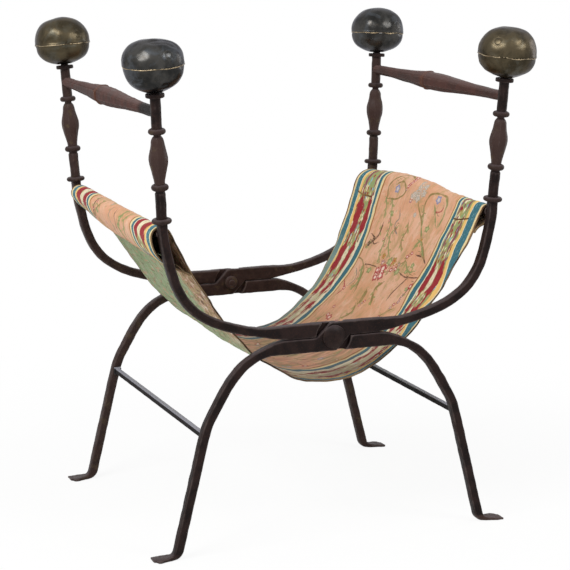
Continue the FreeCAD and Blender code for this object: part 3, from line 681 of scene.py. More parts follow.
@dataclass
class ArmRail:
    """One arm rail between two posts: a softened octagonal bar that swells to its middle, with a band.

    The half width at a place along is the stations' smooth curve. Round the bar, at the angle a, the
    radius is half (sum over the 8 flats of max(0, cos(a - flat))^p)^(-1 / p), an octagon whose
    corners are softer the smaller p is.
    """

    side: Side
    material: bpy.types.Material
    seed: int
    end_width: float = 16.4 * MM
    middle_width: float = 31 * MM
    length_shares: tuple = (0.0, 0.14, 0.30, 0.42, 0.50, 0.58, 0.70, 0.86, 1.0)
    width_shares: tuple = (0.0, 0.08, 0.45, 0.90, 1.0, 0.90, 0.45, 0.08, 0.0)
    band_place: float = 27 * MM
    band_width: float = 33.6 * MM
    band_thickness: float = 6 * MM
    corner_power: float = 30.0
    rows: int = 330
    columns: int = 96

    def axis(self) -> tuple[float, float, float]:
        """Distance out, height and half length of the rail, between the two posts' axes."""
        word = self.side.name.lower()
        rail = box_middle(f"{word}_arm_rail")
        low, high = box_middle(f"far_{word}_lower_ring"), box_middle(f"far_{word}_cap_disc")
        share = (rail[2] - low[2]) / (high[2] - low[2])
        return rail[0], rail[2], low[1] + (high[1] - low[1]) * share

    def build(self) -> bpy.types.Object:
        """Makes the rail."""
        out, height, half = self.axis()
        run = half - 3 * MM
        along = np.union1d(np.linspace(-run, run, self.rows), self.band_place + np.linspace(-6 * MM, 6 * MM, 50))
        offsets = np.linspace(-0.055, 0.055, 81)
        weights = np.cos(offsets / 0.055 * math.pi / 2) ** 2
        share = ((along / half + 1) / 2)[:, None] + offsets
        shares = np.interp(share, self.length_shares, self.width_shares)
        width = self.end_width + (self.middle_width - self.end_width) * shares @ weights / weights.sum()
        from_band = np.abs(along - self.band_place)
        band = smooth_step(self.band_thickness / 2 + 0.7 * MM, self.band_thickness / 2 - 0.7 * MM, from_band)
        groove = 0.5 * MM * bell(from_band - self.band_thickness / 2 - 1.2 * MM, 1.0 * MM)
        width = lerp(width - groove, np.maximum(width, self.band_width), band)
        angle = circle(self.columns)
        flats = np.maximum(0, np.cos(angle[:, None] - np.arange(8) * math.pi / 4)) ** self.corner_power
        round_about = flats.sum(1) ** (-1 / self.corner_power)
        radius = width[:, None] / 2 * round_about
        run_along = np.broadcast_to(along[:, None], radius.shape)
        points = np.stack((out + radius * np.cos(angle), run_along, height + radius * np.sin(angle)), -1)
        waves = ripples(points, self.seed, (0.6, 45 * MM), (0.35, 17 * MM))
        middle = np.stack((np.full(len(along), out), along, np.full(len(along), height)), -1)[:, None]
        points = lerp(middle, points, (1 + 0.35 * MM * (waves - 0.3) / radius)[..., None])
        count = len(along) * self.columns
        caps = (*fan(0, self.columns, count, True), *fan(count - self.columns, self.columns, count + 1))
        faces = [*grid_faces(len(along), self.columns, wrap=True), *caps]
        piece = new_piece(
            f"forged_{self.side.name.lower()}_arm_rail", np.vstack((points.reshape(-1, 3), middle[0], middle[-1])),
            faces
        )
        corner = np.abs((angle / (math.pi / 4)) % 1 - 0.5) < 0.12
        edge = np.maximum(0.55 * corner[None], 0.75 * bell(from_band - self.band_thickness / 2, 1.0 * MM)[:, None])
        rusty = 0.55 * bell(along - self.band_place + 2 * MM, 8 * MM)
        # The left rail turns near-black towards its near end.
        darkened_end = smooth_step(-0.60 * half, -0.86 * half, along) if self.side is Side.LEFT else np.zeros(len(along))
        tone = np.repeat((rusty - darkened_end)[:, None], self.columns, 1)
        store(piece, "edge", np.append(edge.ravel(), (0, 0)))
        store(piece, "tone", np.append(tone.ravel(), (0, 0)))
        # The top attribute is the mask of a painted highlight on faces turned up.
        store(piece, "top", np.append(np.tile(smooth_step(0.35, 0.85, np.sin(angle)), len(along)), (0, 0)))
        tidy_normals(piece, 0)
        node = f"{self.side.name.lower()}_arm_rail"
        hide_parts(node)
        return dress(piece, self.material, body_of_node(node))


@dataclass(frozen=True)
class AgedBrass:
    """Old brass gone dark: a thin, satin patina of one hue, with blue-grey bloom and rubbed marks."""

    name: str
    dark: tuple
    light: tuple
    speck: tuple
    bloom: tuple
    roughness: float = 0.27

    def build(self, effects: Effects) -> bpy.types.Material:
        """Makes the material."""
        material, graph, shader = start_material(self.name)
        mottle = graph.group(
            effects.mottle, First=self.dark, Second=self.light, Speck=self.speck,
            Patches=26.0, Specks=190.0, Speck_Share=0.28,
        )
        haze = graph.ramp(graph.noise(graph.place(), 38.0, 4, 0.6, 0.6), 0.50, 0.66)
        color = graph.mix(haze * 0.6, mottle["Color"], self.bloom)
        rubbed = graph.ramp(graph.attribute("mark", "Fac"), 0.25, 1.0)
        color = graph.mix(rubbed * 0.09, color, (0.20, 0.18, 0.14))
        graph.fill(shader, Base_Color=color)
        scratch = graph.noise(graph.place(), 700, 3, 0.7)
        rough = mottle["Patch"] * 0.10 + self.roughness
        rough = (scratch - 0.5) * 0.20 + rough
        graph.fill(shader, Roughness=rough)
        dents = graph.noise(graph.place(), 55, 2, 0.4) + graph.noise(graph.place(), 230, 3, 0.5) * 0.12
        graph.fill(shader, Normal=graph.bump(dents, 1.5 * MM, 0.6), Metallic=0.82, Specular_Tint=(0.62, 0.62, 0.66))
        return material


@dataclass(frozen=True)
class SeamBrass:
    """Bright solder line between the two halves of a knob."""

    gold: tuple = (0.33, 0.26, 0.165)
    dull: tuple = (0.19, 0.15, 0.10)

    def build(self, effects: Effects) -> bpy.types.Material:
        """Makes the material."""
        material, graph, shader = start_material("bright seam brass")
        mottle = graph.group(
            effects.mottle, First=self.gold, Second=self.dull, Speck=(0.6, 0.5, 0.3),
            Patches=60.0, Specks=400.0, Speck_Share=0.5,
        )
        graph.fill(
            shader, Base_Color=mottle["Color"], Roughness=mottle["Patch"] * 0.2 + 0.3,
            Normal=graph.bump(graph.noise(graph.place(), 500, 3), 0.3 * MM, 0.6), Metallic=0.9
        )
        return material


@dataclass(frozen=True)
class Mark:
    """A dent or a ring mark on a knob.

    azimuth and rise are its direction from the knob's middle in degrees (azimuth from +X towards
    +Y), size its radius, depth how deep it is, and ring tells a raised ring from a plain dent.
    """

    azimuth: float
    rise: float
    size: float
    depth: float
    ring: bool = False


@dataclass
class Knob:
    """One hollow knob of two raised brass shells, joined by a soldered seam, on one arm post.

    Half a shell's profile is a short upright band at the seam, a shoulder arc and a flatter crown
    arc, as in the solids.
    """

    post: str
    material: bpy.types.Material
    seam_material: bpy.types.Material
    marks: tuple
    seed: int
    radius: float = 48.75 * MM
    upper_height: float = 46.5 * MM
    lower_height: float = 36.5 * MM
    lip: float = 1.1 * MM
    wall: float = 1.8 * MM
    upper_band: float = 6 * MM
    lower_band: float = 2.4 * MM
    upper_shoulder_share: float = 0.965
    lower_shoulder_share: float = 0.88
    seat_radius: float = 11 * MM
    bore_radius: float = 5.05 * MM
    seam_height: float = 1.0 * MM
    seam_lift: float = 0.0
    bead: float = 0.95 * MM
    bead_wander: float = 0.6 * MM
    bead_depth: float = 0.80 * MM
    bead_rows: int = 260
    bead_sides: int = 10
    rows: int = 96
    columns: int = 168

    def axes(self) -> tuple[np.ndarray, np.ndarray]:
        """Seam's middle and the frame of the post, whose last row is its axis."""
        seam = box_middle(f"{self.post}_knob_seam")
        axis = box_middle(f"{self.post}_cap_disc") - box_middle(f"{self.post}_lower_ring")
        axis /= np.linalg.norm(axis)
        side = np.cross((0, 1, 0), axis)
        side /= np.linalg.norm(side)
        return seam, np.stack((side, np.cross(axis, side), axis))

    def arc_profile(
        self, radius: float, height: float, band: float, share: float, seat: float, wall: float, count: int
    ) -> np.ndarray:
        """Points of half a knob's profile, (out, rise), from the seam to the pole or the seat.

        The profile is a line up the band, then a shoulder arc about (radius - shoulder, band), then
        a crown arc about the axis that meets the shoulder arc with one tangent.
        """
        rise = height - band
        shoulder = rise * share
        offset = radius - shoulder
        crown = (offset**2 + rise**2 - shoulder**2) / (2 * (rise - shoulder))
        middle = height - crown
        angle = math.atan2(band - middle, offset)
        seat_angle = math.acos(seat / (crown - wall))
        t = np.linspace(0, 1, count)
        turn = np.where(t < 0.8, angle * t / 0.8, angle + (seat_angle - angle) * (t - 0.8) / 0.2)[:, None]
        round_shoulder = np.array((offset, band)) + (shoulder - wall) * np.hstack((np.cos(turn), np.sin(turn)))
        round_crown = np.array((0, middle)) + (crown - wall) * np.hstack((np.cos(turn), np.sin(turn)))
        arcs = np.where(t[:, None] < 0.8, round_shoulder, round_crown)
        bands = np.column_stack((np.full(4, radius - wall), np.linspace(0, band, 5)[:-1]))
        return np.vstack((bands, arcs))

    def lifted(self, rise: np.ndarray) -> np.ndarray:
        """Heights above the seam's first place, drawn up with the seam.

        A height h becomes h + lift (1 - (h / H)^2), with H the pole's height on h's side, so that
        the poles stay and the two shells keep together.
        """
        pole = np.where(rise > 0, self.upper_height, self.lower_height)
        return rise + self.seam_lift * (1 - np.clip(np.abs(rise) / pole, 0, 1) ** 2)

    def beaten(self, points: np.ndarray, middle: np.ndarray) -> tuple[np.ndarray, np.ndarray]:
        """Dents the outer wall.

        Each point moves towards the middle by its marks' depth, a bell curve exp(-(r / size)^2) for
        a dent and exp(-((r - size) / 1 mm)^2) for a ring, and by broad and fine random waves.

        Returns:
            The moved points, and the strength of the ring marks at each.
        """
        out = points - middle
        length = np.linalg.norm(out, axis=-1, keepdims=True)
        out = out / length
        broad = 0.60 * MM * (ripple(points, 42 * MM, self.seed) - 0.4)
        depth = broad + 0.20 * MM * ripple(points, 19 * MM, self.seed + 3)
        shine = np.zeros(points.shape[:-1])
        for mark in self.marks:
            turn, lift = math.radians(mark.azimuth), math.radians(mark.rise)
            aim = np.array((math.cos(turn) * math.cos(lift), math.sin(turn) * math.cos(lift), math.sin(lift)))
            reach = np.arccos(np.clip(out @ aim, -1, 1)) * self.radius
            if mark.ring:
                rim = bell(reach - mark.size, 1.0 * MM)
                bowl = np.exp(-((reach / (mark.size * 0.8)) ** 4))
                depth = depth - mark.depth * rim + 0.4 * mark.depth * bowl
                shine = np.maximum(shine, rim)
            else:
                depth = depth - mark.depth * bell(reach, mark.size)
        return points + out * depth[..., None], shine

    def shell(self, upper: bool) -> bpy.types.Object:
        """One half of the knob as a closed turned shell: outer wall, rim, inner wall and bore or pole.

        A point is seam + out cos(a) side + out sin(a) other side + rise axis, with (out, rise) from
        the profile and a once around.
        """
        seam, turned = self.axes()
        if upper:
            sizes = (self.radius, self.upper_height, self.upper_band, self.upper_shoulder_share, 0.02 * MM)
            flip, start = 1, self.seam_height / 2
        else:
            sizes = (
                self.radius - self.lip, self.lower_height, self.lower_band, self.lower_shoulder_share,
                self.seat_radius
            )
            flip, start = -1, -self.seam_height / 2
        outer = self.arc_profile(*sizes, 0, self.rows)
        inner = self.arc_profile(*sizes, self.wall, 24)[::-1]
        if upper:
            profile = np.vstack((outer[:-1], inner[1:]))
            outer_count = len(outer) - 1
        else:
            bore = np.array([(self.bore_radius, outer[-1, 1]), (self.bore_radius, inner[0, 1])])
            profile = np.vstack((outer, bore, inner))
            outer_count = len(outer)
        angle = circle(self.columns)
        local = np.stack((
            profile[:, 0, None] * np.cos(angle),
            profile[:, 0, None] * np.sin(angle),
            np.repeat(self.lifted(flip * profile[:, 1] + start)[:, None], self.columns, 1),
        ), -1)
        points = seam + local @ turned
        shine = np.zeros(points.shape[:-1])
        beaten, marked = self.beaten(points[:outer_count], seam)
        hold = smooth_step(0.0, 5 * MM, profile[:outer_count, 1])[:, None]
        points[:outer_count] = lerp(points[:outer_count], beaten, hold[..., None])
        shine[:outer_count] = marked * hold
        if upper:
            faces = grid_faces(len(profile), self.columns, wrap=True)
            faces = faces[faces[:, 0] // self.columns != outer_count - 1]
            poles = np.stack((points[outer_count - 1].mean(0), points[outer_count].mean(0)))
            first = len(profile) * self.columns
            top = fan((outer_count - 1) * self.columns, self.columns, first, True)
            under = fan(outer_count * self.columns, self.columns, first + 1)
            all_faces = [*faces, *self.close_ring(len(profile)), *top, *under]
            all_points = np.vstack((points.reshape(-1, 3), poles))
            shine = np.append(shine.ravel(), (0, 0))
        else:
            all_faces = [*grid_faces(len(profile), self.columns, wrap=True), *self.close_ring(len(profile))]
            all_points, shine = points.reshape(-1, 3), shine.ravel()
        node = f"{self.post}_knob_{'top' if upper else 'bottom'}"
        piece = new_piece(f"brass_{node}", all_points, all_faces)
        store(piece, "mark", shine)
        tidy_normals(piece, 0)
        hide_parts(node)
        return dress(piece, self.material, body_of_node(node))

    def close_ring(self, rows: int) -> np.ndarray:
        """Faces that join the last ring of a turned grid to its first."""
        around = np.arange(self.columns)
        beside = (around + 1) % self.columns
        last = (rows - 1) * self.columns
        return np.stack((last + around, around, beside, last + beside), 1)

    def seam(self) -> bpy.types.Object:
        """Uneven bead of solder along the seam.

        A ring of radius R with a round section of radius r that swells and thins with random waves
        around the knob, and wanders up and down by as much.
        """
        middle, turned = self.axes()
        angle = circle(self.bead_rows)
        round_about = np.stack((np.cos(angle), np.sin(angle)), 1)
        swell = 1 + ripples(round_about, self.seed + 7, (0.35, 0.35), (0.25, 0.08))
        thick = self.bead * np.clip(swell, 0.65, 1.35)
        wander = self.bead_wander * ripple(round_about, 0.6, self.seed + 9)
        section = circle(self.bead_sides)
        out = self.radius - self.bead_depth + thick[:, None] * np.cos(section)
        rise = self.seam_lift + wander[:, None] + thick[:, None] * np.sin(section)
        local = np.stack((out * np.cos(angle)[:, None], out * np.sin(angle)[:, None], rise), -1)
        points = (middle + local @ turned).reshape(-1, 3)
        faces = grid_faces(self.bead_rows + 1, self.bead_sides, wrap=True) % (self.bead_rows * self.bead_sides)
        node = f"{self.post}_knob_seam"
        piece = new_piece(f"brass_{node}", points, faces)
        tidy_normals(piece, 0)
        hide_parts(node)
        return dress(piece, self.seam_material, body_of_node(node))

    def build(self) -> None:
        """Makes both shells and the seam, and gives the hidden nut its finish."""
        self.shell(True)
        self.shell(False)
        self.seam()
        nut = frame["nodes"][f"{self.post}_knob_nut"]
        nut.data.materials.clear()
        nut.data.materials.append(self.seam_material)


class Ink(Enum):
    """Colours of the drawn lines of the print, by their place on the line ramp."""

    GREEN = 0.1
    OLIVE = 0.3
    BROWN = 0.5
    RED = 0.7
    GREY = 0.9


class Petal(Enum):
    """Kinds of small flowers, by their place on the petal ramps."""

    BLUE = 0.07
    PALE = 0.21
    RED = 0.36
    YELLOW = 0.5
    MAUVE = 0.64
    LEAF = 0.79
    DARK = 0.93


@dataclass(frozen=True)
class Stem:
    """A drawn line: points (s, v) in millimetres that a smooth curve goes through."""

    points: tuple
    ink: Ink = Ink.GREEN
    width: float = 1.1
    leafy: float = 0.0


@dataclass(frozen=True)
class Bloom:
    """A small flower at (s, v) in millimetres, with its radius and its kind."""

    s: float
    v: float
    size: float
    petal: Petal
    turn: float = 0.0


@dataclass
class FlowerPrint:
    """Drawing of the cloth: thin stems, leaves and small flowers between two striped borders.

    The lines and flowers are listed one by one on the right half and on the left pocket, and strewn
    with a seed elsewhere. Blooms are given by kind, each as (s, v, radius, turn). Everything is in
    millimetres on the flat cloth.
    """

    near_line: tuple = (
        (-520, -119), (-430, -119), (-300, -140), (-170, -132), (-80, -124), (-20, -130), (0, -135), (52, -136),
        (90, -148), (192, -140), (228, -133), (255, -130), (274, -135), (314, -138), (351, -138), (366, -141),
        (415, -142), (520, -145)
    )
    far_line: tuple = (
        (-520, 108), (-260, 112), (-150, 124), (-60, 118), (0, 110), (104, 104), (130, 105), (160, 101), (181, 104),
        (203, 99), (229, 92), (251, 96), (281, 99), (296, 103), (307, 108), (322, 113), (333, 118), (359, 122),
        (385, 126), (430, 125), (520, 122)
    )
    near_turned: tuple = (
        (-520, 0), (180, 0), (205, 0.16), (228, 0.32), (262, 0.30), (282, 0.23), (300, 0.17), (325, 0.02), (335, 0),
        (520, 0)
    )
    far_stripes: tuple = (
        (0, 0.07, 0.20, 0.29, 0.45, 0.60, 0.75, 0.80, 0.875, 0.95, 1),
        (0, 0.095, 0.315, 0.425, 0.57, 0.68, 0.81, 0.85, 0.93, 0.97, 1)
    )
    low_stripes: tuple = (
        (0, 0.015, 0.10, 0.12, 0.15, 0.30, 0.48, 0.62, 0.75, 0.87, 0.93, 1),
        (0, 0.095, 0.315, 0.335, 0.425, 0.61, 0.70, 0.82, 0.85, 0.93, 0.97, 1)
    )
    far_low_stripes: tuple = (
        (0, 0.015, 0.17, 0.20, 0.22, 0.33, 0.47, 0.60, 0.68, 0.78, 0.90, 1),
        (0, 0.095, 0.315, 0.335, 0.425, 0.515, 0.65, 0.765, 0.82, 0.85, 0.93, 1)
    )
    strewn: int = 62
    seed: int = 71
    stems: tuple = (
        Stem(((374, 97), (383, 97), (399, 103), (414, 90), (425, 74), (432, 56), (424, 28)), Ink.OLIVE, 1.5),
        Stem(((407, 72), (412, 60), (410, 47), (399, 36), (388, 39), (378, 61), (377, 86)), Ink.OLIVE, 1.2),
        Stem(
            ((362, -50), (372, -51), (388, -46), (403, -51), (411, -64), (416, -87), (412, -106), (407, -112)),
            Ink.OLIVE, 1.6
        ),
        Stem(((409, -106), (400, -115), (390, -116), (373, -119), (360, -116)), Ink.GREEN, 1.8),
        Stem(((388, -80), (373, -93), (359, -103)), Ink.GREEN, 1.4),
        Stem(((381, -90), (384, -104), (393, -108)), Ink.RED, 0.9),
        Stem(
            ((383, -24), (366, -42), (351, -61), (333, -74), (325, -83), (307, -108), (290, -124)), Ink.OLIVE, 1.1,
            0.35
        ),
        Stem(((379, -46), (362, -57), (344, -67), (332, -78)), Ink.GREEN, 1.2),
        Stem(((325, 67), (314, 66), (303, 68), (292, 79), (281, 90)), Ink.BROWN, 1.5, 0.8),
        Stem(((303, 68), (301, 79), (304, 90)), Ink.BROWN, 1.0),
        Stem(((293, 79), (288, 68), (292, 57)), Ink.BROWN, 0.9),
        Stem(
            ((375, 72), (362, 62), (351, 55), (336, 46), (322, 38), (303, 35), (285, 32), (270, 28), (264, 19)),
            Ink.GREEN, 1.1, 0.9
        ),
        Stem(((375, 99), (364, 88), (355, 82), (345, 80)), Ink.GREEN, 1.3, 0.7),
        Stem(((255, 96), (254, 82), (248, 69), (237, 50), (224, 45), (198, 38)), Ink.OLIVE, 1.0),
        Stem(((248, 56), (250, 38), (251, 18)), Ink.BROWN, 0.7),
        Stem(((253, -102), (243, -95), (233, -90), (222, -85), (208, -82)), Ink.BROWN, 0.9),
        Stem(((255, -72), (253, -90), (255, -105), (259, -135)), Ink.BROWN, 1.0, 0.2),
        Stem(((297, -92), (297, -106), (296, -116), (288, -128)), Ink.BROWN, 1.1),
        Stem(((309, -72), (319, -76), (322, -84), (307, -103), (298, -112)), Ink.GREEN, 1.5, 0.8),
        Stem(((288, -66), (277, -62), (270, -52), (262, -45), (254, -36), (247, -22)), Ink.OLIVE, 0.9, 0.8),
        Stem(((278, -70), (270, -80), (264, -94), (268, -106)), Ink.GREEN, 1.2, 0.7),
        Stem(((232, 78), (224, 66), (214, 62), (203, 70)), Ink.GREY, 0.8, 0.4),
        Stem(((200, -2), (192, -5), (184, -4)), Ink.OLIVE, 3.4, 0.6),
        Stem(((170, 2), (160, -4), (150, -2), (142, 6)), Ink.OLIVE, 2.0, 0.7),
        Stem(((205, 96), (196, 84), (188, 82), (178, 86)), Ink.RED, 0.9),
        Stem(((330, 12), (318, 22), (300, 18), (286, 6), (276, -8)), Ink.GREEN, 1.2, 0.7),
        Stem(((344, -18), (330, -24), (312, -22), (296, -34)), Ink.OLIVE, 1.2, 0.8),
        Stem(((240, 62), (228, 52), (214, 46), (200, 50)), Ink.GREEN, 1.8, 1.0),
        Stem(((226, -34), (214, -26), (200, -30), (188, -40)), Ink.OLIVE, 2.0, 1.0),
        Stem(((360, 30), (348, 20), (334, 26), (320, 6)), Ink.GREY, 1.2, 0.2),
        Stem(((-424, -70), (-440, -66), (-452, -58), (-466, -48), (-480, -56), (-492, -46)), Ink.GREEN, 1.7, 0.9),
        Stem(((-425, -97), (-441, -88), (-455, -84), (-472, -76)), Ink.GREEN, 1.4, 0.8),
        Stem(((-430, 80), (-442, 84), (-455, 93), (-473, 104)), Ink.BROWN, 1.1, 0.6),
        Stem(((-432, 48), (-446, 62), (-456, 80), (-470, 98), (-476, 112)), Ink.OLIVE, 1.1, 0.8),
        Stem(((-438, -5), (-455, 0), (-470, -8), (-488, -2)), Ink.GREY, 0.8, 0.5),
        Stem(((-440, -30), (-458, -34), (-474, -26)), Ink.BROWN, 0.8, 0.3),
    )
    blooms: tuple = (
        (Petal.BLUE, (397, 67, 7.5), (403, -83, 7.5, 0.6)),
        (Petal.RED, (428, 27, 4.2), (420, 21, 3.6), (414, 25, 3.2), (407, 30, 3.8), (433, 34, 3.2),
         (337, 51, 2.4), (322, 42, 2.2), (302, 40, 2.8), (292, 26, 2.2), (252, -11, 9.2), (238, -15, 8.6, 0.5),
         (232, -1, 7.0, 0.9), (246, 5, 6.4), (255, -35, 4.2), (260, -46, 4.2, 0.6), (288, -64, 3.8),
         (297, -72, 3.4, 0.4), (192, 80, 4.0), (185, -19, 3.0), (174, -10, 3.2, 0.5), (129, 45, 6.4),
         (133, 57, 4.0), (152, 64, 3.6), (200, -112, 3.4), (-487, -45, 3.8), (-494, -52, 2.8), (-491, 3, 3.0),
         (-456, 92, 3.2), (-473, 100, 3.4), (-438, 76, 2.8)),
        (Petal.MAUVE, (400, 34, 2.4), (384, 4, 4.6), (262, 2, 4.4), (270, -50, 3.0), (180, -14, 2.2),
         (207, -120, 3.6), (192, -108, 3.0), (-470, 30, 3.0)),
        (Petal.PALE, (392, 3, 7.0), (392, -16, 8.2, 0.5), (403, -31, 6.6, 1.0), (410, -12, 6.4),
         (417, -28, 6.0, 0.3), (424, -8, 5.0), (399, -3, 4.4), (362, -27, 4.6)),
        (Petal.LEAF, (347, -84, 6.2), (268, -18, 8.0), (256, -58, 7.0, 0.7), (240, 34, 6.0), (352, 53, 4.8),
         (277, -94, 5.0), (262, -84, 4.0), (233, -118, 4.0), (-446, -62, 5.2), (-462, -48, 5.0), (-455, 70, 4.6)),
        (Petal.YELLOW, (326, -84, 3.0), (274, 11, 5.2), (273, -31, 6.2, 0.4), (266, -26, 4.4), (281, 97, 3.0),
         (-480, -24, 3.2)),
        (Petal.DARK, (286, 88, 4.6)),
    )

    def strew(self) -> tuple[list, list]:
        """Small seeded sprigs for the parts of the ground that have no drawing of their own.

        Each is a bent stem of 18 to 34 mm with leaves and one or two flowers.

        Returns:
            Stems and blooms.
        """
        random = np.random.default_rng(self.seed)
        stems, blooms, spots = [], [], []
        petals = (Petal.RED, Petal.YELLOW, Petal.MAUVE, Petal.PALE, Petal.RED, Petal.BLUE)
        inks = (Ink.GREEN, Ink.OLIVE, Ink.BROWN, Ink.GREEN)
        while len(spots) < self.strewn:
            s, v = random.uniform(-415, 240), random.uniform(-125, 98)
            taken = any(math.hypot(s - other[0], v - other[1]) < 25 for other in spots)
            if taken or (s > 125 and -120 < v < 100 and random.uniform() < 0.6):
                continue
            spots.append((s, v))
            turn, bend, length = random.uniform(0, 2 * math.pi), random.uniform(-0.9, 0.9), random.uniform(11, 20)
            ends = []
            for way in (-1, 0, 1):
                angle = turn + bend * abs(way)
                ends.append((s + way * length * math.cos(angle), v + way * length * math.sin(angle)))
            stems.append(
                Stem(tuple(ends), inks[random.integers(4)], random.uniform(0.9, 1.5), random.uniform(0.4, 1))
            )
            blooms.append(Bloom(*ends[-1], random.uniform(3.4, 6.4), petals[random.integers(6)], turn))
            if random.uniform() < 0.5:
                blooms.append(Bloom(*ends[0], random.uniform(2.0, 3.4), petals[random.integers(6)], bend))
        return stems, blooms

    @staticmethod
    def curve(points: tuple, step: float = 1.2) -> tuple[np.ndarray, np.ndarray]:
        """Smooth curve through points: cubics whose tangents are half the run between neighbours.

        Returns:
            Points about a step apart, and the length along at each.
        """
        given = np.array(points, float)
        tangents = np.gradient(given, axis=0)
        runs = np.linalg.norm(np.diff(given, axis=0), axis=1)
        count = max(int(runs.sum() / step), 6)
        row = np.linspace(0, len(given) - 1, count)
        base = np.clip(row.astype(int), 0, len(given) - 2)
        u = (row - base)[:, None]
        path = (2 * u**3 - 3 * u**2 + 1) * given[base] + (u**3 - 2 * u**2 + u) * tangents[base]
        path += (-2 * u**3 + 3 * u**2) * given[base + 1] + (u**3 - u**2) * tangents[base + 1]
        return path, np.append(0, np.cumsum(np.linalg.norm(np.diff(path, axis=0), axis=1)))

    def draw(self, place: np.ndarray) -> dict[str, np.ndarray]:
        """What the shader needs to draw the print at each place of the cloth.

        For lines: signed distance from the nearest line, plain distance, length along it; and its
        ink, half width and leafiness. For flowers: offset from the nearest centre over its radius,
        with the plain distance; and its kind and turn. For borders: the share of the way from the
        edge to the border's inner line, and the length along from the nearest knot of its figures;
        near_turned says how much of the near border is turned under its edge. The other three maps
        say how the stripes differ along the far edge, at the seat's bottom and in both at once.

        Args:
            place: (s, v) in millimetres, one row for each point.

        Returns:
            Named attribute values.
        """
        more_stems, more_blooms = self.strew()
        line = np.tile((60.0, 60.0, 0.0), (len(place), 1))
        ink = np.tile((0.1, 1.0, 0.0), (len(place), 1))
        best = np.full(len(place), 60.0)
        for stem in (*self.stems, *more_stems):
            path, length = self.curve(stem.points)
            low, high = path.min(0) - 14, path.max(0) + 14
            near = np.flatnonzero(((place > low) & (place < high)).all(1))
            offset = place[near, None] - path[None]
            distance = np.linalg.norm(offset, axis=2)
            index = distance.argmin(1)
            rows = np.arange(len(near))
            ahead = np.gradient(path, axis=0)[index]
            ahead /= np.linalg.norm(ahead, axis=1, keepdims=True)
            closest = offset[rows, index]
            cross = ahead[:, 0] * closest[:, 1] - ahead[:, 1] * closest[:, 0]
            plain = distance[rows, index]
            ends = (index == 0) | (index == len(path) - 1)
            signed = np.where(ends, plain * np.where(cross < 0, -1, 1), cross)
            won = plain - stem.width < best[near]
            target = near[won]
            best[target] = (plain - stem.width)[won]
            line[target] = np.stack((signed, plain, length[index]), 1)[won]
            ink[target] = (stem.ink.value, stem.width, stem.leafy)
        drawn = [Bloom(*spot[:3], petal, *spot[3:]) for petal, *spots in self.blooms for spot in spots]
        flowers = (*drawn, *more_blooms)
        centres = np.array([(bloom.s, bloom.v) for bloom in flowers])
        sizes = 1.18 * np.array([bloom.size for bloom in flowers])
        away = place[:, None] - centres[None]
        reach = np.linalg.norm(away, axis=2) / sizes
        index = reach.argmin(1)
        rows = np.arange(len(place))
        bloom = np.column_stack((away[rows, index] / sizes[index, None], reach[rows, index]))
        bloom = np.clip(bloom, -6, 6)
        petal = np.array([(flower.petal.value, flower.turn, 0.0) for flower in flowers])[index]
        s, v = place[:, 0], place[:, 1]
        offsets = np.linspace(-20, 20, 9)
        near_in = -np.interp(s[:, None] + offsets, *zip(*self.near_line)).mean(1)
        far_in = np.interp(s[:, None] + offsets, *zip(*self.far_line)).mean(1)
        inner = np.where(v < 0, near_in, far_in) + 1.2 * ripple(np.stack((s, np.sign(v) * 90), 1), 70, 19)
        share = (234 - np.abs(v)) / (234 - inner)
        hidden = np.interp(s[:, None] + offsets / 2, *zip(*self.near_turned)).mean(1)
        left = smooth_step(-180, -340, s)
        far_share, low_share = np.interp(share, *self.far_stripes), np.interp(share, *self.low_stripes)
        near_share = lerp(lerp(hidden + share * (1 - hidden), low_share, smooth_step(190, 120, s)), far_share, left)
        near_share = np.where(share < 1, near_share, share)
        far_low = np.interp(share, *self.far_low_stripes)
        far_share = np.where(share < 1, lerp(far_share, far_low, smooth_step(330, 270, s) * (1 - left)), share)
        share = np.where(v < 0, near_share, far_share)
        far_beat = np.interp(s, (-520, 108, 160, 212, 290, 520), (-10.52, -3, -2, -1, 0, 2.5))
        beat = np.where(v < 0, (s - 305) / 83 + 0.416 * left, far_beat)
        knot = np.abs(beat - np.round(beat)) * 92
        plain_red = np.interp(
            s, (-520, -240, -160, 150, 215, 297, 305, 520), (1.0, 1.0, 0.68, 0.68, 1.0, 1.0, 0.45, 0.32)
        )
        far_red = np.interp(
            s, (-520, -240, -160, 200, 270, 372, 382, 520), (1.0, 1.0, 0.74, 0.74, 1.0, 1.0, 0.38, 0.25)
        )
        border = np.stack((share, knot, np.where(v < 0, plain_red, far_red)), 1)
        return {"line": line, "ink": ink, "bloom": bloom, "petal": petal, "border": border}


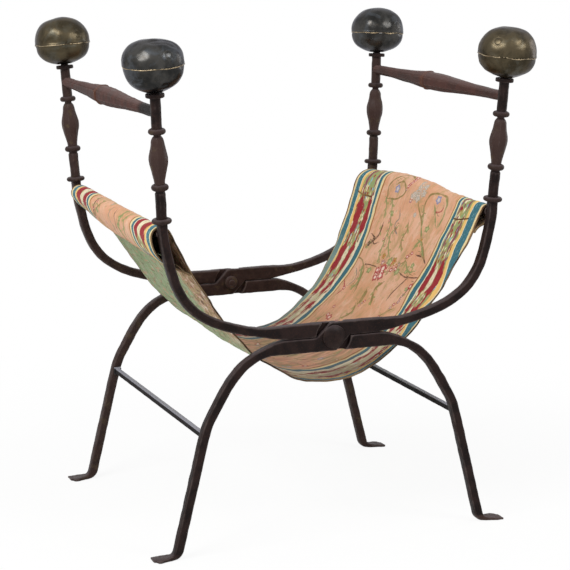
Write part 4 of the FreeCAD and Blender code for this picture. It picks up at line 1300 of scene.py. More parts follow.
@dataclass
class Sling:
    """The seat: one sheet of printed cloth hung between two rods, its ends sewn back into pockets.

    Across the arms the sheet follows a hanging curve, runs onto a round over each rod, and comes
    down outside as a flap to its seam.
    """

    effects: Effects
    half_width: float = 234 * MM
    low: float = 270 * MM
    middle_sag: float = 4 * MM
    rod_out: float = 289.3 * MM
    rod_top: float = 544.6 * MM
    seam_height: float = 466 * MM
    thickness: float = 1.7 * MM
    rows: int = 310
    columns: int = 147
    right_lift: tuple = (
        (-234, 0.6), (-205, 1.2), (-164, 0.0), (-145, 1.8), (-114, 0.6), (-88, 1.2), (-60, 4.5), (-20, 8.8),
        (44, 10.4), (95, 9.6), (157, 5.8), (214, 0.6), (234, 0.2)
    )
    left_lift: tuple = (
        (-234, 0.2), (-150, 0.0), (-60, 0.3), (10, 0.6), (75, 2.6), (140, 2.6), (185, 4.2), (220, 3.6), (234, 2.2)
    )
    right_round: tuple = ((-234, 11.5), (-170, 13), (-110, 17), (0, 22), (120, 24), (180, 28), (234, 33))
    left_round: tuple = ((-234, 17.5), (0, 17), (150, 17), (234, 15.5))
    right_fullness: tuple = ((-234, 0.02), (-170, 0.1), (-100, 0.6), (0, 0.9), (150, 0.9), (234, 0.7))
    tacks: tuple = (
        ("far_right", ((386, 213), (380, 196), (377, 178), (375, 158))),
        ("near_right", ((377, -155), (378, -170), (381, -192), (384, -206))),
        ("near_left", ((-402, -224), (-414, -214), (-424, -219))),
    )
    left_fullness: tuple = ((-234, 1.0), (-60, 1.02), (90, 0.96), (170, 0.66), (234, 0.42))
    far_hang: tuple = (
        (-60, 0), (0, 0.5), (55, 0.8), (100, 1), (200, 1), (225, 0.9), (250, 0.62), (272, 0.5), (292, 0.37),
        (333, 0.25), (365, 0),
    )

    @staticmethod
    def through(place: np.ndarray, stations: tuple, blur: float = 16.0) -> np.ndarray:
        """Smooth curve near stations of (place, value) in millimetres: straight runs, averaged over a width."""
        places, values = zip(*stations)
        offsets = np.linspace(-blur, blur, 9)
        return np.interp(np.asarray(place)[..., None] / MM + offsets, places, values).mean(-1)

    def hanging_scale(self, reach: np.ndarray, rise: np.ndarray) -> np.ndarray:
        """Scale a of the hanging curve with a (cosh(reach / a) - 1) = rise, by halving the interval."""
        low, high = reach / 8, reach * 20
        for _ in range(60):
            middle = np.sqrt(low * high)
            short = middle * (np.cosh(reach / middle) - 1) > rise
            low, high = np.where(short, middle, low), np.where(short, high, middle)
        return middle

    def half_profile(self, across: np.ndarray, side: Side, count: int) -> tuple[np.ndarray, np.ndarray]:
        """The sheet from its lowest line to one flap's seam.

        For each place across: a hanging curve z = low + a (cosh(x / a) - 1) up to where it touches
        the round over the rod, the round's arc, and a bag-like cubic that drops outside the rod and
        comes in under it to the seam on the curve's outside. Fullness 1 is a slack bag, 0 a flap
        drawn tight against the hanging curve.

        Args:
            across: Places across, in metres.
            side: Which arm.
            count: Rows wanted.

        Returns:
            Distance out and height, shaped (along, across, 2), and the length along at each row.
        """
        right = side is Side.RIGHT
        lift = self.through(across, self.right_lift if right else self.left_lift, 9) * MM
        lift += 0.3 * MM * ripple(across[:, None], 21 * MM, 5 + side.value) + 0.35 * MM
        radius = self.through(across, self.right_round if right else self.left_round) * MM - self.thickness / 2
        full = self.through(across, self.right_fullness if right else self.left_fullness)
        middle_z = self.rod_top + self.thickness / 2 + lift - radius
        middle_x = self.rod_out - np.maximum(radius - 16.5 * MM, 0) * 0.55
        low = self.low - self.middle_sag * (1 - (across / self.half_width) ** 2)
        slope = np.full(len(across), math.radians(65))
        for _ in range(25):
            touch_x, touch_z = middle_x - radius * np.sin(slope), middle_z + radius * np.cos(slope)
            scale = self.hanging_scale(touch_x, touch_z - low)
            slope = np.arctan(np.sinh(touch_x / scale))
        turned = lerp(-0.75 * (math.pi / 2 - slope), np.radians(np.full(len(across), -4.0)), full)
        tip_z = self.seam_height + 2.0 * MM * np.sin(across / (15 * MM)) + 10 * MM * (1 - full)
        if right:
            tip_z = tip_z + 26 * MM * smooth_step(-110 * MM, -225 * MM, across)
        tip_x = scale * np.arccosh(1 + (tip_z - low) / scale)
        tip_slope = np.arctan(np.sinh(tip_x / scale))
        tip = np.stack((tip_x + 2.1 * MM * np.sin(tip_slope), tip_z - 2.1 * MM * np.cos(tip_slope)), -1)
        t = np.linspace(0, 1, 900)[:, None]
        curve = np.stack((touch_x * t, low + scale * (np.cosh(touch_x * t / scale) - 1)), -1)
        angle = lerp(math.pi / 2 + slope, turned, t)
        round_top = np.stack((middle_x + radius * np.cos(angle), middle_z + radius * np.sin(angle)), -1)
        start = round_top[-1]
        drop = np.stack((np.sin(turned), -np.cos(turned)), -1) * lerp(26, 42, full)[:, None] * MM
        come = lerp(tip_slope, np.radians(26), full)
        under = np.stack((np.cos(come), np.sin(come)), -1) * lerp(20, 33, full)[:, None] * MM
        u = t[..., None]
        bag = (1 - u) ** 3 * start + 3 * (1 - u) ** 2 * u * (start + drop)
        bag += 3 * (1 - u) * u**2 * (tip + under) + u**3 * tip
        whole = np.concatenate((curve, round_top[1:], bag[1:]))
        middle = whole[:, len(across) // 2]
        length = np.append(0, np.cumsum(np.linalg.norm(np.diff(middle, axis=0), axis=1)))
        even = np.linspace(0, length[-1], count)
        row = np.interp(even, length, np.arange(len(length)))
        base = np.clip(row.astype(int), 0, len(length) - 2)
        share = (row - base)[:, None, None]
        return whole[base] * (1 - share) + whole[base + 1] * share, even

    def middle_surface(self) -> tuple[np.ndarray, np.ndarray, np.ndarray]:
        """Middle surface of the whole sheet with its folds.

        Returns:
            Points (along, across, 3), length along of each row and place across of each column.
        """
        across = np.linspace(-self.half_width, self.half_width, self.columns)
        half = self.rows // 2
        right, length = self.half_profile(across, Side.RIGHT, half)
        left, left_length = self.half_profile(across, Side.LEFT, half)
        x = np.concatenate((-left[::-1, :, 0], right[1:, :, 0]))
        z = np.concatenate((left[::-1, :, 1], right[1:, :, 1]))
        along = np.concatenate((-left_length[::-1], length[1:]))
        y = np.broadcast_to(across, x.shape)
        points = np.stack((x, y, z), -1)
        normals = self.normals(points)
        s, v = np.meshgrid(along, across, indexing="ij")
        place = np.stack((s, v * 0.45), -1)
        seat = smooth_step(405 * MM, 350 * MM, np.abs(s))
        rim = smooth_step(150 * MM, 232 * MM, np.abs(v))
        folds = 1.1 * MM * ripple(place, 95 * MM, 11) * seat
        folds += 0.55 * MM * ripple(np.stack((s, v), -1), 42 * MM, 12) * (0.3 + 0.7 * seat)
        folds += 0.16 * MM * ripple(np.stack((s, v * 1.5), -1), 14 * MM, 13)
        puckers = np.exp(-np.abs(np.abs(s) - 402 * MM) / (26 * MM))
        pleats = np.sin(v / (5.5 * MM) + 1.5 * ripple(v[..., None], 60 * MM, 14))
        folds += 0.7 * MM * puckers * pleats * (0.35 + 0.65 * rim)
        slack = self.through(s, ((-400, 0), (-330, 0.75), (-250, 1), (-150, 0.6), (-40, 0)), 30)
        folds += (9.5 + 4.5 * v / self.half_width) * MM * slack
        tight = self.through(s, ((180, 0), (270, 1), (345, 1), (385, 0)), 25) * smooth_step(60 * MM, 234 * MM, v)
        folds -= 5.5 * MM * tight
        flap = smooth_step(430 * MM, 505 * MM, np.abs(s))
        moved = points + normals * (folds * (1 - flap))[..., None]
        points = lerp(moved, moved + self.hem_shift(points, moved, along), flap[..., None])
        sway = 2.2 * MM * np.sin(s / (31 * MM) + 0.6) * bell(s - 345 * MM, 60 * MM)
        sway += 0.9 * MM * ripple(s[..., None], 70 * MM, 15)
        drawn_in = self.through(s, ((40, 0), (110, 7), (200, 10), (300, 10), (345, 5), (380, 0)), 15) * MM
        points[..., 1] += np.where(v < 0, (sway + drawn_in) * rim, -0.5 * sway * rim)
        hung = self.through(s, self.far_hang, 15)
        hung = hung * np.clip((v - 85 * MM) / (149 * MM), 0, 1) ** 1.4
        points[..., 1] -= 24 * MM * hung
        points[..., 2] -= 17 * MM * hung
        return points, along, across

    @staticmethod
    def hem_shift(points: np.ndarray, moved: np.ndarray, along: np.ndarray) -> np.ndarray:
        """How far the hanging cloth moved where each flap's hem is sewn to it, for every point of that flap.

        Each column's hem lies on the hanging cloth where the two are nearest before the folds.
        """
        shift = np.zeros_like(points)
        columns = np.arange(points.shape[1])
        for tip, way in ((0, -1), (-1, 1)):
            rows = np.flatnonzero((way * along > 0.22) & (way * along < 0.40))
            nearest = rows[np.linalg.norm(points[rows] - points[tip], axis=-1).argmin(0)]
            own = moved[nearest, columns] - points[nearest, columns]
            shift[np.sign(along) == way] = own
        return shift

    @staticmethod
    def normals(points: np.ndarray) -> np.ndarray:
        """Unit normals of a grid surface, on its printed side."""
        along, across = np.gradient(points, axis=0), np.gradient(points, axis=1)
        normal = np.cross(along, across)
        return normal / np.linalg.norm(normal, axis=-1, keepdims=True)

    def build(self) -> None:
        """Makes the sheet, its bound edges and its stitches in place of the two sling halves, which it hides."""
        middle, along, across = self.middle_surface()
        normals = self.normals(middle)
        rows, columns = middle.shape[:2]
        front = (middle + normals * self.thickness / 2).reshape(-1, 3)
        back = (middle - normals * self.thickness / 2).reshape(-1, 3)
        count = rows * columns
        quads = grid_faces(rows, columns)
        number = np.arange(count).reshape(rows, columns)
        border = np.concatenate((number[:-1, 0], number[-1, :-1], number[:0:-1, -1], number[0, :0:-1]))
        after = np.roll(border, -1)
        rim = np.stack((border, after, after + count, border + count), 1)
        sheet = new_piece("printed_cloth_seat", np.vstack((front, back)), [*quads, *(quads[:, ::-1] + count), *rim])
        tidy_normals(sheet, 0)
        s, v = np.meshgrid(along, across, indexing="ij")
        face = np.repeat((1.0, -1.0), count)
        place = np.stack((np.tile(s.ravel(), 2) / MM, np.tile(v.ravel(), 2) / MM, face), 1)
        store(sheet, "place", place)
        for name, values in FlowerPrint().draw(place[:count, :2]).items():
            store(sheet, name, np.vstack((values, values)))
        cloth = PrintedCloth().build(self.effects)
        dress(sheet, cloth, None)
        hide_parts("left_sling_half", "right_sling_half")
        trims = self.trims(middle, normals, along, across)
        for piece in (sheet, *trims):
            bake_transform(piece)
        float(along[-1] - along[0])

    def tube(
        self, name: str, path: np.ndarray, up: np.ndarray, wide: float, high: float, sides: int = 8
    ) -> bpy.types.Object:
        """Closed tube along a path, of oval section wide across and high along up."""
        ahead = np.gradient(path, axis=0)
        ahead /= np.linalg.norm(ahead, axis=1, keepdims=True)
        side = np.cross(ahead, up)
        side /= np.linalg.norm(side, axis=1, keepdims=True)
        lift = np.cross(side, ahead)
        angle = circle(sides)
        ring = side[:, None] * (wide * np.cos(angle))[:, None] + lift[:, None] * (high * np.sin(angle))[:, None]
        points = path[:, None] + ring
        ends = np.stack((path[0], path[-1]))
        count = len(path) * sides
        caps = (*fan(0, sides, count), *fan(count - sides, sides, count + 1, True))
        faces = [*grid_faces(len(path), sides, wrap=True), *caps]
        piece = new_piece(name, np.vstack((points.reshape(-1, 3), ends)), faces)
        tidy_normals(piece, 0)
        return piece

    def on_sheet(
        self, middle: np.ndarray, normals: np.ndarray, along: np.ndarray, across: np.ndarray, s: np.ndarray,
        v: np.ndarray, lift: np.ndarray
    ) -> tuple[np.ndarray, np.ndarray]:
        """Points over the printed side at (s, v) in metres, raised by lift, and the normals there.

        Each is the mean of the four grid points round it, weighted by how near it is to them.
        """
        row = np.interp(s, along, np.arange(len(along)))
        column = np.interp(v, across, np.arange(len(across)))
        r, c = np.clip(row.astype(int), 0, len(along) - 2), np.clip(column.astype(int), 0, len(across) - 2)
        a, b = (row - r)[:, None], (column - c)[:, None]
        blended = [
            lerp(lerp(grid[r, c], grid[r, c + 1], b), lerp(grid[r + 1, c], grid[r + 1, c + 1], b), a)
            for grid in (middle, normals)
        ]
        up = blended[1] / np.linalg.norm(blended[1], axis=1, keepdims=True)
        return blended[0] + up * lift[:, None], up

    def trims(self, middle: np.ndarray, normals: np.ndarray, along: np.ndarray, across: np.ndarray) -> list:
        """Makes the bound edges, the running stitches of the flaps' hems and the tacks through both plies."""
        binding = Binding().build(self.effects)
        thread = Binding("brown thread", (0.12, 0.055, 0.022), (0.30, 0.17, 0.06)).build(self.effects)
        pieces = []
        for label, column in (("near", 0), ("far", -1)):
            path, up = middle[:, column], normals[:, column]
            piece = self.tube(f"bound_edge_{label}", path, up, 1.4 * MM, 1.4 * MM)
            pieces.append(dress(piece, binding, None))
        skin = self.thickness / 2
        for label, s in (("left", along[0] + 5 * MM), ("right", along[-1] - 5 * MM)):
            v = np.linspace(-0.222, 0.222, 620)
            lift = skin + 0.45 * MM * np.sin(2 * math.pi * v / (9 * MM))
            path, up = self.on_sheet(middle, normals, along, across, np.full(620, s), v, lift)
            piece = self.tube(f"hem_stitches_{label}", path, up, 0.55 * MM, 0.4 * MM, 6)
            pieces.append(dress(piece, thread, None))
        for label, places in self.tacks:
            s, v = np.array(places).T * MM
            step = np.linspace(0, len(s) - 1, 90)
            s, v = np.interp(step, np.arange(len(s)), s), np.interp(step, np.arange(len(v)), v)
            lift = skin + 0.25 * MM + 0.5 * MM * np.abs(np.sin(step * math.pi * 1.5))
            path, up = self.on_sheet(middle, normals, along, across, s, v, lift)
            piece = self.tube(f"tack_{label}", path, up, 1.3 * MM, 0.75 * MM, 8)
            pieces.append(dress(piece, thread, None))
        return pieces


@dataclass(frozen=True)
class PrintedCloth:
    """Old printed cotton: flowered salmon ground, striped borders and a sage-green reverse."""

    salmon: tuple = (0.665, 0.335, 0.195)
    pale: tuple = (0.72, 0.43, 0.29)
    tan: tuple = (0.56, 0.315, 0.155)
    teal: tuple = (0.034, 0.142, 0.180)
    sky: tuple = (0.24, 0.45, 0.50)
    red: tuple = (0.29, 0.012, 0.022)
    brick: tuple = (0.32, 0.065, 0.040)
    yellow: tuple = (0.78, 0.50, 0.16)
    straw: tuple = (0.74, 0.61, 0.33)
    cream: tuple = (0.78, 0.70, 0.50)
    sage: tuple = (0.26, 0.34, 0.145)
    olive: tuple = (0.38, 0.33, 0.11)
    mauve: tuple = (0.22, 0.075, 0.095)
    rust: tuple = (0.36, 0.15, 0.05)
    reverse: tuple = (0.235, 0.33, 0.16)
    reverse_pale: tuple = (0.40, 0.45, 0.29)
    reverse_fleck: tuple = (0.17, 0.090, 0.048)

    @staticmethod
    def steps(graph: NodeGraph, value: object, stops: tuple, soft: bool = False) -> Value:
        """Colour of a value by stops of (place, colour), stepped or blended."""
        node = graph.add("ShaderNodeValToRGB")
        node.color_ramp.interpolation = "LINEAR" if soft else "CONSTANT"
        elements = node.color_ramp.elements
        while len(elements) < len(stops):
            elements.new(0.5)
        for element, (place, color) in zip(elements, stops):
            element.position = place
            element.color = (*color, 1)
        graph.feed(node.inputs[0], value)
        return Value(graph, node.outputs[0])

    def border(self, graph: NodeGraph, flat: object) -> Value:
        """Colour of the striped border, by the share of the way from its edge to its inner line.

        Between the outer yellow stripe and the inner pale one run figures, in cells drawn out along
        the cloth, under two red bands that swell between the knots of the pattern and there hold a
        pale lens. Where the border isn't solid the red turns to broken mauve strokes.
        """
        share, knot, solid = graph.split(graph.attribute("border"))
        s, v, _ = graph.split(flat)
        drawn = graph.join(s * 0.30, v, 0.0)
        scrolls = graph.join(s * 0.48, v, graph.noise(flat, 0.05, 2) * 6.0)
        uneven = graph.noise(flat, 0.055, 3, 0.6) * 0.022 - 0.011
        share = share + uneven
        stripes = self.steps(graph, share, (
            (0.0, self.rust), (0.030, self.straw), (0.095, self.teal), (0.315, self.cream), (0.335, self.yellow),
            (0.425, self.sage), (0.82, self.cream), (0.850, self.teal), (0.930, self.straw), (0.970, self.rust),
        ))
        top = graph.ramp(abs(s), 368.0, 398.0)
        light = graph.ramp(graph.noise(graph.join(s * 0.5, v, 3.0), 0.30, 3, 0.7), 0.53, 0.66)
        in_teal = graph.ramp(share, 0.095, 0.12) * graph.ramp(share, 0.325, 0.30)
        stripes = graph.mix(light * in_teal * (top * 0.45 + 0.35), stripes, self.sky)
        cell = graph.add("ShaderNodeTexVoronoi", voronoi_dimensions="2D")
        cell = graph.outputs(graph.fill(cell, Vector=scrolls, Scale=0.25))
        hue = graph.split(cell["Color"])[0]
        figure = self.steps(graph, hue, (
            (0.0, self.sage), (0.24, self.olive), (0.38, self.straw), (0.47, self.sage), (0.60, self.mauve),
            (0.69, self.cream), (0.79, self.red), (0.93, self.sky),
        ))
        rim = graph.ramp(cell["Distance"], 0.42, 0.60)
        figure = graph.mix(rim * 0.65, figure, self.olive)
        low = graph.ramp(abs(s), 240.0, 150.0)
        figure = graph.mix(low * 0.48, figure, self.cream)
        inside = graph.ramp(share, 0.423, 0.429) * graph.ramp(share, 0.822, 0.816)
        color = graph.mix(inside, stripes, figure)
        swell = graph.ramp(knot, 5, 26) * 0.72 + 0.28
        swell = swell * solid
        broken = graph.noise(drawn, 0.16, 3, 0.6)
        swell = swell * (graph.ramp(broken, 0.42, 0.56) * 0.40 + 0.70)
        dashes = graph.ramp(graph.noise(graph.join(v * 0.5 + s * 0.55, v, 8.0), 0.15, 3, 0.6), 0.43, 0.52)
        swell = swell * (low * (dashes * 1.45 - 0.85) + 1.0)
        red = graph.mix(graph.ramp(solid, 0.45, 0.8), self.mauve, self.red)
        red = graph.mix(graph.ramp(graph.noise(drawn, 0.4, 3, 0.6), 0.5, 0.7) * 0.35, red, self.brick)
        for middle, half in ((0.515, 0.094), (0.765, 0.062)):
            off = abs(share - middle)
            edge = swell * half
            band = graph.ramp(off - edge, 0.008, -0.008)
            color = graph.mix(band, color, red)
        off = abs(share - 0.650)
        lens = graph.ramp(off - graph.ramp(knot, 12, 34) * 0.048, 0.010, -0.006)
        lens = lens * graph.ramp(solid, 0.55, 0.8) * graph.ramp(s, 304.0, 292.0)
        threads = graph.ramp(graph.noise(drawn, 0.40, 2, 0.5), 0.50, 0.60) * 0.6
        return graph.mix(lens, color, graph.mix(threads, self.cream, self.olive))

    def lines(self, graph: NodeGraph, flat: object, color: object) -> Value:
        """Draws the stems and their leaves over a colour."""
        signed, plain, length = graph.split(graph.attribute("line"))
        ink, width, leafy = graph.split(graph.attribute("ink"))
        inks = self.steps(graph, ink, (
            (0.0, (0.235, 0.265, 0.10)), (0.2, (0.25, 0.185, 0.060)), (0.4, (0.10, 0.045, 0.025)),
            (0.6, (0.36, 0.04, 0.045)), (0.8, (0.22, 0.20, 0.16)),
        ))
        close = graph.ramp(plain, 9.0, 7.5)
        away = abs(signed)
        faint = graph.noise(flat, 0.09, 3, 0.6)
        thick = width * (faint * 1.3 + 0.62)
        stroke = graph.ramp(away - thick, 0.75, -0.55) * close
        stroke = stroke * (graph.ramp(faint, 0.34, 0.52) * 0.42 + 0.55)
        color = graph.mix(stroke, color, inks)
        step = length / 10.0
        whole = graph.math("FLOOR", step)
        local = (step - whole - 0.5) * 10.0
        way = graph.math("MODULO", whole, 2.0) * 2.0 - 1.0
        out = signed * way - 4.1
        tip = (local + out) / 6.2
        side = (local - out) / 3.2
        oval = graph.math("POWER", tip, 2.0) + graph.math("POWER", side, 2.0)
        leaf = graph.ramp(oval, 1.15, 0.7) * (close * graph.ramp(leafy, 0.1, 0.9))
        leaf = leaf * 0.85
        green = graph.mix(graph.noise(flat, 0.06, 2), (0.20, 0.27, 0.095), (0.34, 0.30, 0.09))
        return graph.mix(leaf, color, green)

    def flowers(self, graph: NodeGraph, flat: object, color: object) -> Value:
        """Draws the small flowers over a colour, each with petals, an outline and a heart."""
        x, y, reach = graph.split(graph.attribute("bloom"))
        kind, turn, _ = graph.split(graph.attribute("petal"))
        close = graph.ramp(reach, 1.9, 1.6)
        radius = graph.math("SQRT", x * x + y * y)
        angle = graph.math("ARCTAN2", y, x) * 5.0 + turn * 5.0
        petal = graph.math("COSINE", angle) * 0.14 + 0.86
        petal = petal + (graph.noise(flat, 0.45, 2) * 0.5 - 0.25)
        inside = graph.ramp(radius - petal, 0.10, -0.08) * close
        blue, pale, white = (0.13, 0.18, 0.34), (0.62, 0.55, 0.50), (0.68, 0.55, 0.45)
        body = self.steps(graph, kind, (
            (0.0, (0.33, 0.36, 0.48)), (0.14, white), (0.285, (0.50, 0.06, 0.075)), (0.43, (0.46, 0.30, 0.05)),
            (0.57, (0.42, 0.19, 0.22)), (0.715, (0.27, 0.33, 0.12)), (0.86, (0.09, 0.06, 0.04)),
        ))
        rim = self.steps(graph, kind, (
            (0.0, blue), (0.14, (0.27, 0.28, 0.23)), (0.285, (0.30, 0.012, 0.028)), (0.43, (0.28, 0.19, 0.03)),
            (0.57, (0.26, 0.10, 0.15)), (0.715, (0.16, 0.22, 0.07)), (0.86, (0.05, 0.035, 0.03)),
        ))
        heart = self.steps(graph, kind, (
            (0.0, pale), (0.14, (0.40, 0.40, 0.36)), (0.285, (0.80, 0.66, 0.56)), (0.43, (0.45, 0.10, 0.05)),
            (0.57, (0.72, 0.55, 0.40)), (0.715, (0.40, 0.42, 0.20)), (0.86, (0.20, 0.12, 0.06)),
        ))
        edge = graph.ramp(abs(petal * -0.86 + radius), 0.24, 0.08)
        face = graph.mix(edge * 0.85, body, rim)
        face = graph.mix(graph.ramp(radius, 0.50, 0.28), face, heart)
        worn = graph.ramp(graph.noise(flat, 0.35, 3, 0.7), 0.36, 0.56) * 0.30 + 0.68
        return graph.mix(inside * worn, color, face)

    def build(self, effects: Effects) -> bpy.types.Material:
        """Makes the material."""
        material, graph, shader = start_material("printed cotton")
        s, v, side = graph.split(graph.attribute("place"))
        flat = graph.join(s, v, 0.0)
        stretched = graph.join(s * 0.16, v, 0.0)
        cloud = graph.noise(flat, 0.012, 4, 0.6)
        streak = graph.noise(stretched, 0.055, 4, 0.62)
        ground = graph.mix(graph.ramp(cloud, 0.36, 0.66), self.salmon, self.pale)
        ground = graph.mix(graph.ramp(streak, 0.50, 0.72) * 0.55, ground, self.tan)
        low = graph.ramp(abs(s - 215.0), 150.0, 20.0) * graph.ramp(abs(v + 10.0), 90.0, 10.0)
        ground = graph.mix(low * graph.ramp(cloud, 0.62, 0.40) * 0.45, ground, self.tan)
        moss = graph.noise(graph.join(s * 0.62, v, 40.0), 0.042, 5, 0.66, 0.9)
        ground = graph.mix(graph.ramp(moss, 0.53, 0.64) * 0.50, ground, (0.37, 0.27, 0.10))
        ground = graph.mix(graph.ramp(moss, 0.46, 0.36) * 0.45, ground, (0.76, 0.53, 0.38))
        wisps = graph.noise(graph.join(s * 0.5, v, 70.0), 0.16, 4, 0.6, 1.4)
        ground = graph.mix(graph.ramp(wisps, 0.57, 0.64) * 0.42, ground, (0.33, 0.30, 0.12))
        ground = self.lines(graph, flat, ground)
        ground = self.flowers(graph, flat, ground)
        share = graph.split(graph.attribute("border"))[0]
        bordered = graph.ramp(share, 1.004, 0.996)
        front = graph.mix(bordered, ground, self.border(graph, flat))
        fade = graph.ramp(graph.noise(flat, 0.9, 3, 0.7), 0.50, 0.75) * 0.12
        front = graph.mix(fade, front, (0.62, 0.55, 0.38))
        faded_run = graph.ramp(s, 320.0, 240.0) * graph.ramp(s, 60.0, 120.0)
        faded_far = graph.ramp(share, 0.34, 0.30) * graph.ramp(v, 60.0, 100.0) * faded_run
        front = graph.mix(faded_far * 0.6, front, (0.30, 0.38, 0.30))
        # Dirt and painted shade: the printed side is darkened and browned towards the seat's bottom, in patches,
        # with a darker brown at a lower share on the borders.
        bottom = graph.ramp(abs(s + 10.0), 200.0, 60.0)
        dirt_and_shade = graph.ramp(graph.noise(stretched, 0.11, 4, 0.65), 0.38, 0.62) * 0.46 + 0.42
        soil_and_shade = graph.mix(graph.ramp(moss, 0.44, 0.58), (0.27, 0.135, 0.090), (0.17, 0.150, 0.082))
        dirt_and_shade = dirt_and_shade * (bordered * -0.30 + 1.0)
        soil_and_shade = graph.mix(bordered, soil_and_shade, (0.095, 0.055, 0.042))
        front = graph.mix(bottom * dirt_and_shade, front, soil_and_shade)
        grime = graph.ramp(graph.noise(stretched, 0.14, 4, 0.65), 0.55, 0.80) * 0.35
        front = graph.mix(grime, front, (0.28, 0.17, 0.085))
        back = graph.mix(
            graph.ramp(graph.noise(stretched, 0.10, 4, 0.6), 0.40, 0.66), self.reverse, self.reverse_pale
        )
        wide = graph.join(s, v * 0.42, 9.0)
        fleck = graph.ramp(graph.noise(wide, 0.13, 4, 0.66, 1.0), 0.535, 0.60)
        back = graph.mix(fleck * 0.62, back, self.reverse_fleck)
        salmon_fleck = graph.ramp(graph.noise(wide, 0.085, 4, 0.64, 0.8), 0.45, 0.39)
        back = graph.mix(salmon_fleck * 0.7, back, (0.56, 0.29, 0.19))
        through = graph.noise(graph.join(s * 0.8, v * 0.7, 21.0), 0.085, 4, 0.64, 0.6)
        shown = self.steps(graph, through, (
            (0.38, (0.15, 0.085, 0.045)), (0.45, (0.46, 0.27, 0.145)), (0.485, (0.31, 0.33, 0.15)),
            (0.515, (0.60, 0.37, 0.22)), (0.55, (0.34, 0.090, 0.065)), (0.59, (0.68, 0.56, 0.42)),
        ), True)
        banded = graph.ramp(share + (through * 0.5 - 0.25), 1.12, 0.90) * graph.ramp(v, -20.0, -60.0)
        banded = graph.ramp(abs(s), 130.0, 210.0) * banded
        back = graph.mix(banded, back, shown)
        # Painted shade: the reverse is darkened inside the pockets round the rods, less towards the near edge.
        pocket_shade = graph.ramp(abs(s), 366.0, 402.0) * (graph.ramp(v, -200.0, -150.0) * 0.9 + 0.1)
        back = graph.mix(pocket_shade * 0.86, back, (0.035, 0.020, 0.012))
        graph.fill(shader, Base_Color=graph.mix(graph.ramp(side, 0.2, -0.2), front, back))
        weave = graph.group(effects.weave, Pitch=0.9)["Height"]
        soft = graph.bump(graph.noise(flat, 0.16, 4, 0.6), 0.9 * MM, 0.5)
        graph.fill(
            shader, Normal=graph.bump(weave, 0.12 * MM, 0.6, soft), Roughness=cloud * 0.15 + 0.74,
            Specular_IOR_Level=0.15, Sheen_Weight=0.06, Sheen_Roughness=0.5
        )
        return material


@dataclass(frozen=True)
class Binding:
    """Woven binding or thread in two close shades of one colour."""

    name: str = "brown binding"
    color: tuple = (0.050, 0.028, 0.016)
    light: tuple = (0.19, 0.125, 0.065)

    def build(self, effects: Effects) -> bpy.types.Material:
        """Makes the material."""
        material, graph, shader = start_material(self.name)
        mottle = graph.group(
            effects.mottle, First=self.color, Second=self.light, Speck=self.light,
            Patches=24.0, Specks=600.0, Speck_Share=0.4,
        )
        graph.fill(shader, Base_Color=mottle["Color"], Roughness=0.85, Specular_IOR_Level=0.2)
        return material


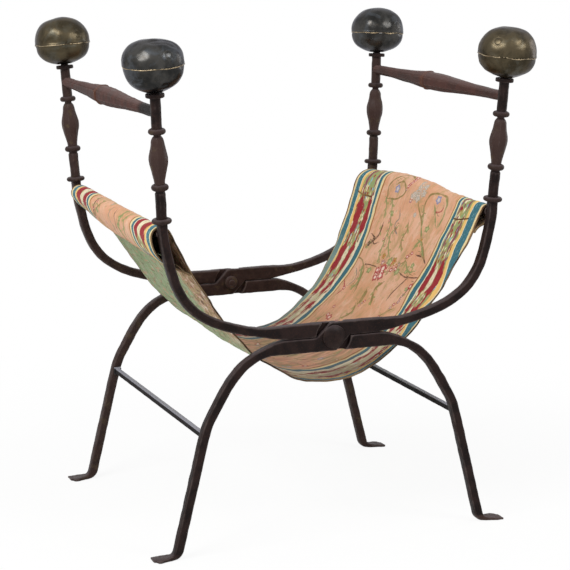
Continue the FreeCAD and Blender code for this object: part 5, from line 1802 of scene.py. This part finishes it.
@dataclass
class Studio:
    """White sweep, soft lights and the photograph's camera."""

    distance: float = 3.57975
    target: tuple = (0, 0, 0.430)
    back: tuple = (-0.3576, -0.9152, 0.1860)
    right: tuple = (0.9315, -0.3638, 0)
    lens: float = 129.48
    shift: tuple = (0.01374, -0.04137)
    roll: float = -0.22

    def camera(self) -> None:
        """Sets the camera by its back and right directions."""
        data = bpy.data.cameras.new("studio camera")
        data.sensor_width = 36
        data.sensor_fit = "HORIZONTAL"
        data.lens = self.lens
        data.shift_x, data.shift_y = self.shift
        data.clip_end = 60
        back = Vector(self.back).normalized()
        right = Vector(self.right).normalized()
        up = back.cross(right)
        turned = Matrix((right, up, back)).transposed() @ Matrix.Rotation(math.radians(self.roll), 3, "Z")
        camera = bpy.data.objects.new("studio camera", data)
        camera.matrix_world = Matrix.Translation(Vector(self.target) + back * self.distance) @ turned.to_4x4()
        bpy.context.scene.collection.objects.link(camera)
        bpy.context.scene.camera = camera

    def lamp(self, name: str, place: tuple, aim: tuple, size: tuple, power: float, tint: tuple = (1, 1, 1)) -> None:
        """Adds a soft rectangular lamp that faces a point."""
        data = bpy.data.lights.new(name, "AREA")
        data.shape = "RECTANGLE"
        data.size, data.size_y = size
        data.energy = power
        data.color = tint
        lamp = bpy.data.objects.new(name, data)
        turned = (Vector(place) - Vector(aim)).to_track_quat("Z", "Y")
        lamp.matrix_world = Matrix.Translation(Vector(place)) @ turned.to_matrix().to_4x4()
        bpy.context.scene.collection.objects.link(lamp)

    def white(self, name: str, share: float) -> bpy.types.Material:
        """White matt surface that seems plain white to the camera but keeps some shadow near the chair.

        The white share of what the camera sees grows from the given share under the chair to all of
        it at 1.25 m from the middle.
        """
        material, graph, shader = start_material(name)
        graph.fill(shader, Base_Color=(0.9, 0.9, 0.9), Roughness=0.9)
        glow = graph.add("ShaderNodeEmission")
        graph.fill(glow, Strength=1)
        x, y, _ = graph.split(graph.place())
        away = graph.math("SQRT", x * x + y * y)
        white = graph.ramp(away, 0.35, 1.25) * (1 - share) + share
        blend = graph.add("ShaderNodeMixShader")
        graph.feed(blend.inputs[0], graph.seen() * white)
        graph.feed(blend.inputs[1], Value(graph, shader.outputs[0]))
        graph.feed(blend.inputs[2], Value(graph, glow.outputs[0]))
        output = next(node for node in material.node_tree.nodes if node.type == "OUTPUT_MATERIAL")
        graph.fill(output, Surface=Value(graph, blend.outputs[0]))
        return material

    def build(self) -> None:
        """Makes the floor, the world, the lamps and the camera."""
        self.camera()
        half = 9.0
        floor = new_piece(
            "white_floor",
            np.array(((-half, -half, 0), (half, -half, 0), (half, half, 0), (-half, half, 0))) - (0, 0, 0.0002),
            [(0, 1, 2, 3)]
        )
        floor.data.materials.append(self.white("white floor", 0.90))
        world = bpy.context.scene.world or bpy.data.worlds.new("studio")
        bpy.context.scene.world = world
        world.use_nodes = True
        world.node_tree.nodes.clear()
        graph = NodeGraph(world.node_tree)
        ground = graph.add("ShaderNodeBackground")
        graph.fill(ground, Strength=graph.seen() * 0.5 + 0.5, Color=(1, 1, 1))
        out = graph.add("ShaderNodeOutputWorld")
        graph.feed(out.inputs[0], Value(graph, ground.outputs[0]))
        self.lamp("key softbox", (-2.15, -1.15, 2.75), (0, 0, 0.5), (1.6, 1.25), 74)
        self.lamp("front softbox", (1.45, -2.0, 2.35), (0, 0, 0.5), (0.9, 0.9), 26)
        self.lamp("side card", (2.9, 0.4, 1.1), (0, 0, 0.5), (0.5, 1.3), 9)


def main() -> None:
    """Builds the armchair and its studio."""
    logging.basicConfig(level=logging.INFO, format="%(name)s: %(message)s")
    bpy.context.scene.view_settings.view_transform = "Standard"
    effects = Effects()
    Studio().build()
    ForgedPieces(effects).build()
    olive = AgedBrass(
        "olive aged brass", dark=(0.034, 0.027, 0.015), light=(0.082, 0.065, 0.038), speck=(0.11, 0.075, 0.04),
        bloom=(0.082, 0.078, 0.060)
    ).build(effects)
    black = AgedBrass(
        "black aged brass", dark=(0.018, 0.018, 0.017), light=(0.056, 0.054, 0.050), speck=(0.075, 0.060, 0.045),
        bloom=(0.078, 0.087, 0.098), roughness=0.22
    ).build(effects)
    seam = SeamBrass().build(effects)
    marks = {
        "near_left": (
            Mark(-77, 28, 6.5 * MM, 0.20 * MM, True), Mark(-105, 62, 9 * MM, 2.2 * MM),
            Mark(-147, 43, 8 * MM, 1.9 * MM), Mark(-62, 63, 9 * MM, 2.4 * MM),
            Mark(-43, 50, 9 * MM, 2.2 * MM), Mark(-164, 22, 7 * MM, 1.0 * MM), Mark(-117, -11, 8 * MM, 0.9 * MM),
            Mark(-79, -30, 5 * MM, 0.8 * MM),
        ),
        "near_right": (
            Mark(-138, 31, 7 * MM, 0.6 * MM, True), Mark(-118, 54, 11 * MM, 1.2 * MM),
            Mark(-51, 22, 9 * MM, 0.8 * MM), Mark(-84, -17, 10 * MM, 0.9 * MM)
        ),
        "far_left": (
            Mark(-68, 23, 7 * MM, 0.5 * MM, True), Mark(-50, -8, 9 * MM, 1.3 * MM),
            Mark(-141, -41, 9 * MM, 0.8 * MM)
        ),
        "far_right": (
            Mark(-64, 18, 6 * MM, 0.6 * MM, True), Mark(-127, -17, 6 * MM, 0.9 * MM),
            Mark(-88, 27, 12 * MM, 1.2 * MM)
        ),
    }
    for number, (post, found) in enumerate(marks.items()):
        finish = black if post in ("near_left", "far_right") else olive
        Knob(
            post, finish, seam, found, 31 + 20 * number, seam_lift=6.5 * MM if post == "near_left" else 0.0
        ).build()
    Sling(effects).build()


if __name__ == "__main__":
    main()
